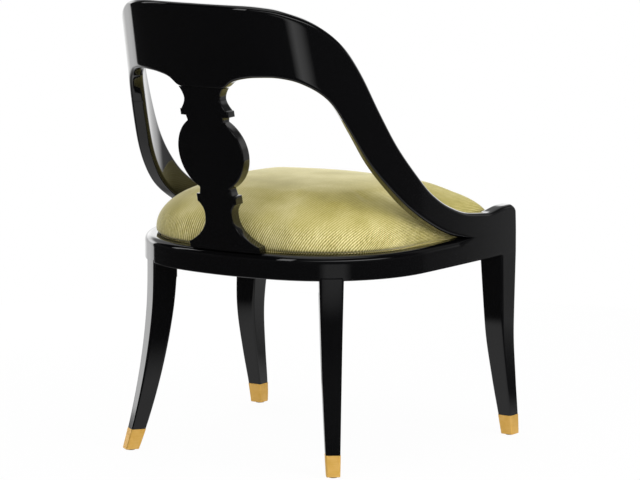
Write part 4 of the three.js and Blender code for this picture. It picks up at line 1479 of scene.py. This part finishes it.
    def build(self) -> None:
        """Makes the legs and the shoes."""
        self.keep_pair(self.rear_leg(), "rear_leg_lacquered", Slot.LACQUER, "rear_leg")
        self.keep_pair(self.front_leg(), "front_leg_lacquered", Slot.LACQUER, "front_leg")
        self.keep_pair(self.shoe(self.rear), "shoe_rear_brushed", Slot.BRASS, "shoe_rear")
        self.keep_pair(self.shoe(self.front), "shoe_front_brushed", Slot.BRASS, "shoe_front")


@dataclass
class DropInSeat(SubAssembly):
    """The upholstered seat: a crowned cushion in velvet, and the dust cloth under it."""

    shell: BackShell
    rails: SeatRails
    crown: float = 97 * MM
    rim_rise: float = 11 * MM
    rim_inset: float = 26.8 * MM
    bulge: float = 7.5 * MM
    waist_inset: float = 32 * MM
    side_inset: float = 28 * MM
    corner: float = 20 * MM
    crown_power: float = 3.6
    underside: float = 364.5 * MM
    hem: float = 26 * MM
    cells: int = 96
    swell_cap: float = 5 * MM
    start_shrink: float = 1.5 * MM
    frames: int = 20
    pressure: float = 4.0
    cloth_mass: float = 0.3
    dust_hem: float = 14 * MM
    dust_gap: float = 0.4 * MM
    dust_thickness: float = 0.5 * MM

    def outline(self, inset: np.ndarray, count: int = 900) -> np.ndarray:
        """Outline inside the frame on one level, as points of its left half from the back.

        Args:
            inset: Distance from the outer face of the rails at each of count stations.
            count: Number of points along the rails.

        Returns:
            Points in plan, through a round front corner, along the bowed front edge to the middle.
        """
        last = self.plan.frame_end - inset[-1] - self.corner
        station = np.linspace(0, last, count)
        side = self.plan.beside(station, -inset, 0.0, 0.0)[:, :2]
        angle = np.linspace(0, QUARTER, 40)[1:]
        turn = side[-1] - self.corner * np.stack([1 - np.cos(angle), np.sin(angle)], 1)
        share = np.linspace(1, 0, 120)[1:]
        bow = self.rails.front_bow * (1 - share**2)
        front = np.stack([share * turn[-1, 0], turn[-1, 1] - bow], 1)
        return np.concatenate([side, turn, front])

    def radius(self, outline: np.ndarray, angle: np.ndarray) -> np.ndarray:
        """Distance from the seat's middle to an outline, on either side.

        Args:
            outline: Points of the left half, from the back.
            angle: Angles from +X.

        Returns:
            Distances at those angles.
        """
        away = outline - self.middle
        place = np.arctan2(away[:, 1], away[:, 0])
        length = np.hypot(away[:, 0], away[:, 1])
        folded = np.arctan2(np.sin(angle), np.abs(np.cos(angle)))
        order = np.argsort(place)
        return np.interp(folded, place[order], length[order])

    def __post_init__(self) -> None:
        """Outlines of the rim, the waist, the side and the hem."""
        count = 900
        last = self.plan.frame_end - self.rim_inset - self.corner
        station = np.linspace(0, last, count)
        swell = smooth_line([
            (0, 0), (74 * MM, 0), (self.plan.turned(18), 1), (self.plan.turned(70), 1),
            (self.plan.along_side(0.03), 0), (self.plan.frame_end, 0),
        ], station)
        rim = self.outline(self.rim_inset + self.start_shrink - self.bulge * swell)
        self.middle = np.array([0.0, (rim[0, 1] + rim[-1, 1]) / 2])
        flat = np.ones(count)
        self.levels = {
            "rim": rim,
            "waist": self.outline(self.waist_inset * flat),
            "side": self.outline(self.side_inset * flat),
            "hem": self.outline((self.side_inset + self.hem) * flat),
        }

    def meridian(self, angle: np.ndarray, share: np.ndarray) -> tuple[np.ndarray, np.ndarray]:
        """Distance from the middle and height on the crown.

        Near the rim the crown follows the seat's outline, and towards the middle an ellipse, so
        no crease runs in from the corners. Its height falls from the crown like a superellipse.

        Args:
            angle: Angles from +X round the middle.
            share: Shares of the way from the middle to the rim.

        Returns:
            Distances from the middle and heights.
        """
        rim = self.radius(self.levels["rim"], angle)
        wide = self.radius(self.levels["rim"], np.zeros(1))[0]
        long = self.radius(self.levels["rim"], np.full(1, QUARTER))[0]
        oval = 1 / np.hypot(np.cos(angle) / wide, np.sin(angle) / long)
        across = share * (oval + (rim - oval) * share**1.5)
        rise = np.sqrt(np.clip(1 - share**self.crown_power, 0, 1))
        base = self.plan.rail_top + self.rim_rise
        return across, base + (self.crown - self.rim_rise - self.start_shrink) * rise

    def cushion_mesh(self) -> bpy.types.Mesh:
        """Closed cushion before it is stuffed.

        Returns:
            A square grid drawn out into a disc over the crown, a skirt of rings down inside the
            rails and a flat underside, with the cloth's own coordinates as UV.
        """
        n = self.cells
        a, b = np.meshgrid(*[np.linspace(-1, 1, n + 1)] * 2, indexing="ij")
        x, y = a * np.sqrt(1 - b * b / 2), b * np.sqrt(1 - a * a / 2)
        share, angle = np.hypot(x, y).ravel(), np.arctan2(y, x).ravel()
        share = np.clip(1 - (1 - share) ** 1.25, 0, 1)
        across, height = self.meridian(angle, share)
        parts = np.linspace(0, 1, 49)[:, None] * share
        run_a, run_z = self.meridian(np.broadcast_to(angle, parts.shape), parts)
        length = np.hypot(np.diff(run_a, axis=0), np.diff(run_z, axis=0)).sum(0)
        index = np.arange((n + 1) ** 2).reshape(n + 1, n + 1)
        quads = np.stack([index[:-1, :-1], index[1:, :-1], index[1:, 1:], index[:-1, 1:]], -1).reshape(-1, 4)
        border = np.r_[index[:-1, 0], index[-1, :-1], index[:0:-1, -1], index[0, :0:-1]]
        skirt_angle = angle[border]
        top = self.plan.rail_top
        rim, waist, side, hem = (
            self.radius(self.levels[name], skirt_angle) for name in ("rim", "waist", "side", "hem")
        )
        rim_z = top + self.rim_rise
        levels = [
            (rim, rim_z - 4 * MM),
            (rim * 0.88 + waist * 0.12, rim_z - 7 * MM),
            (rim * 0.55 + waist * 0.45, top + 1.9 * MM),
            (rim * 0.1 + waist * 0.9, top + 0.9 * MM),
            (waist, top - 1 * MM),
            (side, top - 4 * MM),
            (side, self.underside + 1 * MM),
            (side - 1 * MM, self.underside),
            (hem, self.underside),
        ]
        rings_a, rings_z = [across[border]], [height[border]]
        points = [np.stack([across * np.cos(angle), across * np.sin(angle) + self.middle[1], height], 1)]
        faces = quads.tolist()
        previous, count = border, (n + 1) ** 2
        lengths, angles = [length], [angle]
        run = length[border]
        for reach, z in levels:
            z = np.full_like(reach, z)
            reach_x, reach_y = reach * np.cos(skirt_angle), reach * np.sin(skirt_angle)
            points.append(np.stack([reach_x, reach_y + self.middle[1], z], 1))
            run = run + np.hypot(reach - rings_a[-1], z - rings_z[-1])
            rings_a.append(reach)
            rings_z.append(z)
            lengths.append(run)
            angles.append(skirt_angle)
            following = count + np.arange(len(border))
            ahead = np.roll(np.arange(len(border)), -1)
            faces += np.stack([previous, previous[ahead], following[ahead], following], 1)[:, ::-1].tolist()
            previous, count = following, count + len(border)
        inside = np.ones((n + 1, n + 1), bool)
        inside[[0, -1]] = inside[:, [0, -1]] = False
        inside = inside.ravel()
        hem_reach = self.radius(self.levels["hem"], angle) * share
        under = np.stack([hem_reach * np.cos(angle), hem_reach * np.sin(angle) + self.middle[1]], 1)
        points.append(np.c_[under[inside], np.full(inside.sum(), self.underside)])
        lengths.append(run.max() + length[inside])
        angles.append(angle[inside])
        below = np.zeros((n + 1) ** 2, int)
        below[border] = previous
        below[inside] = count + np.arange(inside.sum())
        faces += below[quads][:, ::-1].tolist()
        mesh = bpy.data.meshes.new("seat_cushion_velvet")
        vertices = np.concatenate(points)
        mesh.from_pydata(vertices.tolist(), [], faces)
        turn, run = np.concatenate(angles), np.concatenate(lengths)
        plan_run = np.hypot(vertices[:, 0], vertices[:, 1] - self.middle[1])
        extra = run - plan_run
        sideways, backways = np.cos(turn), np.sin(turn)
        cloth = np.stack([
            vertices[:, 0] + extra * np.sign(sideways) * smoothstep(np.abs(sideways), 0.8, 1),
            vertices[:, 1] + extra * backways * np.abs(backways),
        ], 1)
        layer = mesh.uv_layers.new(name=CLOTH_MAP)
        corner = np.zeros(len(mesh.loops), np.int32)
        mesh.loops.foreach_get("vertex_index", corner)
        layer.data.foreach_set("uv", cloth[corner].astype(np.float32).ravel())
        return mesh

    def cushion(self) -> bpy.types.Object:
        """The cushion: its cover is blown up by a cloth simulation, held below its rim."""
        mesh = self.cushion_mesh()
        piece = bpy.data.objects.new(mesh.name, mesh)
        bpy.context.scene.collection.objects.link(piece)
        recalculate(mesh)
        before = coordinates(mesh)
        held = piece.vertex_groups.new(name="held")
        low = np.flatnonzero(before[:, 2] < self.plan.rail_top + self.rim_rise - 2 * MM)
        held.add(low.tolist(), 1.0, "REPLACE")
        cloth = piece.modifiers.new("stuffed", "CLOTH")
        settings = cloth.settings
        settings.vertex_group_mass = held.name
        settings.use_pressure = True
        settings.uniform_pressure_force = self.pressure
        settings.effector_weights.gravity = 0.0
        settings.quality = 4
        settings.mass = self.cloth_mass
        cloth.point_cache.frame_start, cloth.point_cache.frame_end = 1, self.frames
        for number in range(1, self.frames + 1):
            bpy.context.scene.frame_set(number)
        blown = piece.evaluated_get(bpy.context.evaluated_depsgraph_get())
        after = coordinates(blown.to_mesh())
        blown.to_mesh_clear()
        piece.modifiers.clear()
        normal = np.zeros(len(mesh.vertices) * 3, np.float32)
        mesh.vertex_normals.foreach_get("vector", normal)
        normal = normal.reshape(-1, 3)
        swell = ((after - before) * normal).sum(1, keepdims=True)
        before = before + normal * np.clip(swell, 0, self.swell_cap)
        bpy.context.scene.frame_set(1)
        log.info("cushion: the cover moved up to %.1f mm", float(np.abs(swell).max()) / MM)
        mesh.vertices.foreach_set("co", before.astype(np.float32).ravel())
        mesh.polygons.foreach_set("use_smooth", np.ones(len(mesh.polygons), bool))
        mesh.update()
        finer = piece.modifiers.new("finer", "SUBSURF")
        finer.levels = finer.render_levels = 1
        return piece

    def dust_cloth(self) -> tuple[bpy.types.Object, tuple[float, float], float]:
        """Dust cloth under the seat, a thin sheet pulled flat; also its width, length and area."""
        inset = (self.side_inset + self.hem - self.dust_hem) * np.ones(900)
        half = self.outline(inset)
        edge = np.concatenate([half[::8], (half * [-1, 1])[-2:0:-8]])
        level = self.underside - self.dust_gap
        rings = np.stack([np.c_[edge, np.full(len(edge), z)] for z in (level, level - self.dust_thickness)])
        piece = Skin().loft(rings).piece("dust_cloth")
        ahead = np.roll(edge, -1, axis=0)
        area = abs(float((edge[:, 0] * ahead[:, 1] - ahead[:, 0] * edge[:, 1]).sum())) / 2
        size = edge.max(0) - edge.min(0)
        return piece, (float(size[0]), float(size[1])), area

    def build(self) -> None:
        """Makes the cushion and the dust cloth."""
        cushion = self.keep(self.cushion(), Slot.VELVET, "seat_cover", "seat_foam")
        cloth, flat, area = self.dust_cloth()
        self.keep(cloth, Slot.CAMBRIC, "dust_cover")


@dataclass
class HiddenJoinery(SubAssembly):
    """The frame's own nodes that keep their CAD shape: blocks, dowels, screws, glides, board."""

    def slot_of(self, node: str) -> Slot:
        """The slot of a CAD node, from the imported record."""
        rows = {row["node"]: row["material_slot"] for row in frame["record"]["subparts"]}
        return Slot(rows[node])

    def build(self) -> None:
        """Dresses every CAD node that still shows."""
        for name, node in frame["nodes"].items():
            if not node.hide_render:
                self.finishes.dress(node, self.slot_of(name))
                log.info("%s: CAD node in %s", name, self.slot_of(name).value)


# Studio


@dataclass(frozen=True)
class Lamp:
    """Soft rectangular lamp that points at a spot over the chair.

    Its azimuth is 0 in front of the chair and 90 at the sitter's left. Its radiance is a share
    of white.
    """

    name: str
    azimuth: float
    elevation: float
    distance: float
    width: float
    height: float
    radiance: float
    aim: float = 0.45
    mirrored: bool = True

    def build(self) -> None:
        """Makes the lamp."""
        data = bpy.data.lights.new(self.name, "AREA")
        data.shape, data.size, data.size_y = "RECTANGLE", self.width, self.height
        data.energy = self.radiance * math.pi * self.width * self.height
        lamp = bpy.data.objects.new(self.name, data)
        bpy.context.scene.collection.objects.link(lamp)
        a, e = math.radians(self.azimuth), math.radians(self.elevation)
        away = Vector((math.sin(a) * math.cos(e), -math.cos(a) * math.cos(e), math.sin(e)))
        lamp.location = Vector((0, 0, self.aim)) + away * self.distance
        lamp.rotation_euler = away.to_track_quat("Z", "Y").to_euler()
        lamp.visible_camera = False
        lamp.visible_glossy = self.mirrored


@dataclass
class Studio:
    """Plain pale studio: floor, lamps, surroundings and the camera at the photograph's angle.

    Azimuths are 0 in front of the chair and 90 at the sitter's left. Strengths are shares of
    white. The gloss mirrors walls, which get darker above the cornice, a soft band below the
    horizon that is narrower at its foot (low_band), a high window and a lamp above.
    """

    eye: tuple[float, float, float] = (-4.3297, 6.3936, 1.5812)
    turn: float = math.radians(33.72)
    pitch: float = math.radians(8.906)
    focal_pixels: float = 4400.0
    picture_width: float = 640.0
    sensor: float = 36.0
    floor_radius: float = 1.6
    floor_white: float = 0.96
    fill: float = 0.5
    overhead: float = 1.0
    overhead_from: float = math.radians(60)
    overhead_full: float = math.radians(72)
    walls: tuple[tuple[float, float], ...] = (
        (0, 1.6), (18, 1.6), (33, 0.95), (45, 1.35), (61, 1.35), (66, 1.7), (72, 2.05), (79, 2.3),
        (81, 0.04),
        (318, 0.05), (323, 0.1), (328, 0.28), (334, 0.36), (350, 0.3), (356, 1.2), (360, 1.6),
    )
    upper_gain: float = 1.8
    upper_from: float = math.radians(1)
    upper_full: float = math.radians(8)
    cornice_from: float = math.radians(13)
    cornice_full: float = math.radians(22)
    cornice_share: float = 0.22
    band: tuple[tuple[float, float], ...] = ((0, 0), (208, 0), (216, 1), (232, 1), (241, 0), (360, 0))
    low_band: tuple[tuple[float, float], ...] = (
        (0, 0), (222, 0), (229, 0.8), (234, 0.6), (241, 0), (360, 0),
    )
    low_band_from: float = math.radians(-19)
    low_band_full: float = math.radians(-13)
    high_window: tuple[tuple[float, float], ...] = (
        (0, 0), (185, 0), (215, 0.5), (232, 0.9), (252, 1), (270, 0.8), (286, 0), (360, 0),
    )
    high_window_sill: float = math.radians(22)
    high_window_head: float = math.radians(36)
    high_window_fade: float = math.radians(4)
    high_window_strength: float = 3.0
    band_top: float = math.radians(-3)
    band_full: float = math.radians(-22)
    band_strength: float = 1.5
    floor_glow: float = 0.6
    floor_glow_radius: float = 0.4
    floor_dark_radius: float = 0.8
    floor_points: int = 96
    floor_colour: str = "f2f2f2"
    floor_dark: float = 0.04
    floor_pale: float = 0.9
    floor_pale_from: float = 0.2
    floor_pale_full: float = 1.3

    def lamps(self) -> list[Lamp]:
        """The lamps: four softboxes that only light the chair, and two strips that it mirrors."""
        return [
            Lamp("left_softbox", 48, 5, 1.9, 1.75, 1.7, 2.0, 0.75, mirrored=False),
            Lamp("overhead_softbox", 180, 78, 2.2, 2.0, 1.6, 1.0, 0.4, mirrored=False),
            Lamp("rear_softbox", 200, 42, 3.0, 1.6, 1.2, 1.6, 0.4, mirrored=False),
            Lamp("right_softbox", 262, 16, 2.4, 1.5, 1.3, 5.8, 0.4, mirrored=False),
            Lamp("rear_strip", 178, 26, 3.0, 0.7, 1.4, 2.6, 0.8),
            Lamp("corner_strip", 114, 26, 3.0, 0.4, 1.4, 2.6, 0.8),
        ]

    def by_azimuth(
        self, tree: bpy.types.NodeTree, share: bpy.types.NodeSocket, stops: tuple[tuple[float, float], ...]
    ) -> bpy.types.NodeSocket:
        """Strength that follows straight lines between azimuths.

        Args:
            tree: The world's node tree.
            share: Azimuth as a share of a full turn.
            stops: Azimuths in degrees and strengths.

        Returns:
            Socket of the strength.
        """
        brightest = max(strength for _, strength in stops)
        node = add_node(tree, "ShaderNodeFloatCurve", {"Value": share})
        curve = node.mapping.curves[0]
        places = [(azimuth / 360, strength / brightest) for azimuth, strength in stops]
        curve.points[0].location, curve.points[-1].location = places[0], places[-1]
        for place in places[1:-1]:
            curve.points.new(*place)
        for point in curve.points:
            point.handle_type = "VECTOR"
        node.mapping.update()
        scaled = add_node(tree, "ShaderNodeMath", {0: node.outputs[0], 1: brightest}, operation="MULTIPLY")
        return scaled.outputs[0]

    def by_height(
        self,
        tree: bpy.types.NodeTree,
        upward: bpy.types.NodeSocket,
        low: float,
        high: float,
        start: float,
        end: float,
    ) -> bpy.types.NodeSocket:
        """Strength that eases from one value to another between two elevations.

        Args:
            tree: The world's node tree.
            upward: Sine of the elevation.
            low: Elevation where the change starts.
            high: Elevation where it ends.
            start: Strength at low.
            end: Strength at high.

        Returns:
            Socket of the strength.
        """
        return add_node(
            tree,
            "ShaderNodeMapRange",
            {
                "Value": upward,
                "From Min": math.sin(low),
                "From Max": math.sin(high),
                "To Min": start,
                "To Max": end,
            },
            interpolation_type="SMOOTHSTEP",
        ).outputs[0]

    def mirrored_walls(
        self, tree: bpy.types.NodeTree, direction: bpy.types.NodeSocket
    ) -> bpy.types.NodeSocket:
        """Strength that the gloss mirrors: walls, soft band, high window and the lamp above.

        Args:
            tree: The world's node tree.
            direction: Direction in world axes.

        Returns:
            Socket of the strength.
        """
        axis = add_node(tree, "ShaderNodeSeparateXYZ", {0: direction}).outputs
        front = add_node(tree, "ShaderNodeMath", {0: axis["Y"], 1: -1.0}, operation="MULTIPLY")
        turn = add_node(tree, "ShaderNodeMath", {0: axis["X"], 1: front.outputs[0]}, operation="ARCTAN2")
        whole = add_node(
            tree, "ShaderNodeMath", {0: turn.outputs[0], 1: 2 * math.pi, 2: 0.0}, operation="WRAP"
        )
        share = add_node(tree, "ShaderNodeMath", {0: whole.outputs[0], 1: 2 * math.pi}, operation="DIVIDE")
        level = self.by_azimuth(tree, share.outputs[0], self.walls)
        gain = self.by_height(tree, axis["Z"], self.upper_from, self.upper_full, 1.0, self.upper_gain)
        shade = self.by_height(
            tree, axis["Z"], self.cornice_from, self.cornice_full, 1.0, self.cornice_share
        )
        gained = add_node(tree, "ShaderNodeMath", {0: gain, 1: shade}, operation="MULTIPLY")
        lifted = add_node(tree, "ShaderNodeMath", {0: level, 1: gained.outputs[0]}, operation="MULTIPLY")
        narrow = self.by_azimuth(tree, share.outputs[0], self.low_band)
        wide = self.by_azimuth(tree, share.outputs[0], self.band)
        upper = self.by_height(tree, axis["Z"], self.low_band_from, self.low_band_full, 0.0, 1.0)
        band = add_node(tree, "ShaderNodeMix", {"Factor": upper, 2: narrow, 3: wide}, data_type="FLOAT")
        depth = self.by_height(tree, axis["Z"], self.band_full, self.band_top, self.band_strength, 0.05)
        glow = add_node(tree, "ShaderNodeMath", {0: band.outputs[0], 1: depth}, operation="MULTIPLY")
        sill, head, fade = self.high_window_sill, self.high_window_head, self.high_window_fade
        opened = self.by_height(tree, axis["Z"], sill, sill + fade, 0.0, self.high_window_strength)
        closed = self.by_height(tree, axis["Z"], head - fade, head, 1.0, 0.0)
        pane = add_node(tree, "ShaderNodeMath", {0: opened, 1: closed}, operation="MULTIPLY")
        panes = self.by_azimuth(tree, share.outputs[0], self.high_window)
        bright = add_node(tree, "ShaderNodeMath", {0: pane.outputs[0], 1: panes}, operation="MULTIPLY")
        lines = add_node(
            tree, "ShaderNodeMath", {0: glow.outputs[0], 1: bright.outputs[0]}, operation="MAXIMUM"
        )
        both = add_node(
            tree, "ShaderNodeMath", {0: lifted.outputs[0], 1: lines.outputs[0]}, operation="MAXIMUM"
        )
        above = self.by_height(tree, axis["Z"], self.overhead_from, self.overhead_full, 0.0, 1.0)
        room = add_node(
            tree,
            "ShaderNodeMix",
            {"Factor": above, 2: both.outputs[0], 3: self.overhead},
            data_type="FLOAT",
        )
        return room.outputs[0]

    def surroundings(self) -> None:
        """World: white for the camera, a soft fill for the object, walls for its gloss."""
        world = bpy.data.worlds.new("studio_room")
        bpy.context.scene.world = world
        world.use_nodes = True
        tree = world.node_tree
        tree.nodes.clear()
        ray = add_node(tree, "ShaderNodeLightPath").outputs
        direction = add_node(tree, "ShaderNodeTexCoord").outputs["Generated"]
        walls = self.mirrored_walls(tree, direction)
        mirrored = add_node(
            tree,
            "ShaderNodeMath",
            {0: ray["Is Glossy Ray"], 1: ray["Is Transmission Ray"]},
            operation="MAXIMUM",
        )
        room = add_node(
            tree,
            "ShaderNodeMix",
            {"Factor": mirrored.outputs[0], 2: self.fill, 3: walls},
            data_type="FLOAT",
        )
        seen = add_node(
            tree,
            "ShaderNodeMix",
            {"Factor": ray["Is Camera Ray"], 2: room.outputs[0], 3: 1.0},
            data_type="FLOAT",
        )
        background = add_node(
            tree, "ShaderNodeBackground", {"Strength": seen.outputs[0], "Color": (1, 1, 1, 1)}
        )
        add_node(tree, "ShaderNodeOutputWorld", {"Surface": background.outputs[0]})

    def floor(self) -> None:
        """Pale floor: a disc that looks white and takes a faint shadow.

        The gloss mirrors it pale in front of the chair and dark behind it, like the walls.
        """
        angle = np.linspace(0, 2 * math.pi, self.floor_points + 1)[:-1]
        rim = np.stack([np.cos(angle), np.sin(angle), np.zeros_like(angle)], 1) * self.floor_radius
        mesh = bpy.data.meshes.new("floor")
        mesh.from_pydata(rim.tolist(), [], [list(range(self.floor_points))])
        floor = bpy.data.objects.new("floor", mesh)
        bpy.context.scene.collection.objects.link(floor)
        material = bpy.data.materials.new("white_sweep")
        material.use_nodes = True
        tree = material.node_tree
        tree.nodes.clear()
        ray = add_node(tree, "ShaderNodeLightPath").outputs
        place = add_node(tree, "ShaderNodeTexCoord").outputs["Object"]
        ahead = (math.sin(self.turn), -math.cos(self.turn), 0.0)
        along = add_node(tree, "ShaderNodeVectorMath", {0: place, 1: ahead}, operation="DOT_PRODUCT")
        away = add_node(tree, "ShaderNodeVectorMath", {0: place}, operation="LENGTH")
        pale = add_node(
            tree,
            "ShaderNodeMapRange",
            {
                "Value": along.outputs["Value"],
                "From Min": self.floor_pale_from,
                "From Max": self.floor_pale_full,
                "To Min": self.floor_dark,
                "To Max": self.floor_pale,
            },
            interpolation_type="SMOOTHSTEP",
        )
        near = add_node(
            tree,
            "ShaderNodeMapRange",
            {
                "Value": away.outputs["Value"],
                "From Min": self.floor_glow_radius,
                "From Max": self.floor_dark_radius,
                "To Min": self.floor_glow,
                "To Max": self.floor_dark,
            },
            interpolation_type="SMOOTHSTEP",
        )
        far = add_node(tree, "ShaderNodeMath", {0: pale.outputs[0], 1: near.outputs[0]}, operation="MAXIMUM")
        mirror = add_node(tree, "ShaderNodeEmission", {"Strength": far.outputs[0]})
        white = add_node(tree, "ShaderNodeEmission", {"Strength": 1.0})
        lit = add_node(tree, "ShaderNodeBsdfDiffuse", {"Color": linear(self.floor_colour)})
        share = add_node(
            tree, "ShaderNodeMath", {0: ray["Is Camera Ray"], 1: self.floor_white}, operation="MULTIPLY"
        )
        seen = add_node(
            tree, "ShaderNodeMixShader", {0: share.outputs[0], 1: lit.outputs[0], 2: white.outputs[0]}
        )
        mix = add_node(
            tree, "ShaderNodeMixShader", {0: ray["Is Glossy Ray"], 1: seen.outputs[0], 2: mirror.outputs[0]}
        )
        add_node(tree, "ShaderNodeOutputMaterial", {"Surface": mix.outputs[0]})
        mesh.materials.append(material)

    def camera(self) -> None:
        """Camera with the photograph's place, direction and angle of view."""
        data = bpy.data.cameras.new("camera")
        data.sensor_fit, data.sensor_width = "HORIZONTAL", self.sensor
        data.lens = self.focal_pixels * self.sensor / self.picture_width
        data.clip_start, data.clip_end = 0.1, 60.0
        camera = bpy.data.objects.new("camera", data)
        bpy.context.scene.collection.objects.link(camera)
        level = math.cos(self.pitch)
        ahead = Vector((math.sin(self.turn) * level, -math.cos(self.turn) * level, -math.sin(self.pitch)))
        direction = ahead.to_track_quat("-Z", "Y").to_matrix().to_4x4()
        camera.matrix_world = Matrix.Translation(self.eye) @ direction
        bpy.context.scene.camera = camera

    def build(self) -> None:
        """Sets up the room."""
        bpy.context.scene.view_settings.view_transform = "Standard"
        self.surroundings()
        self.floor()
        for lamp in self.lamps():
            lamp.build()
        self.camera()


def main() -> None:
    """Builds the chair, its sub-assemblies in order, and the studio round it."""
    logging.basicConfig(level=logging.INFO, format="%(name)s: %(message)s")
    finishes = Finishes()
    plan = SeatPlan(back_face=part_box("back_rail")[1].y)
    shell = BackShell(plan, finishes)
    rails = SeatRails(plan, finishes, shell)
    parts = [
        shell,
        rails,
        LyreSplat(plan, finishes),
        LegsAndShoes(plan, finishes, shell, rails),
        DropInSeat(plan, finishes, shell, rails),
        HiddenJoinery(plan, finishes),
    ]
    for part in parts:
        log.info("building %s", type(part).__name__)
        part.build()
    Studio().build()


if __name__ == "__main__":
    main()
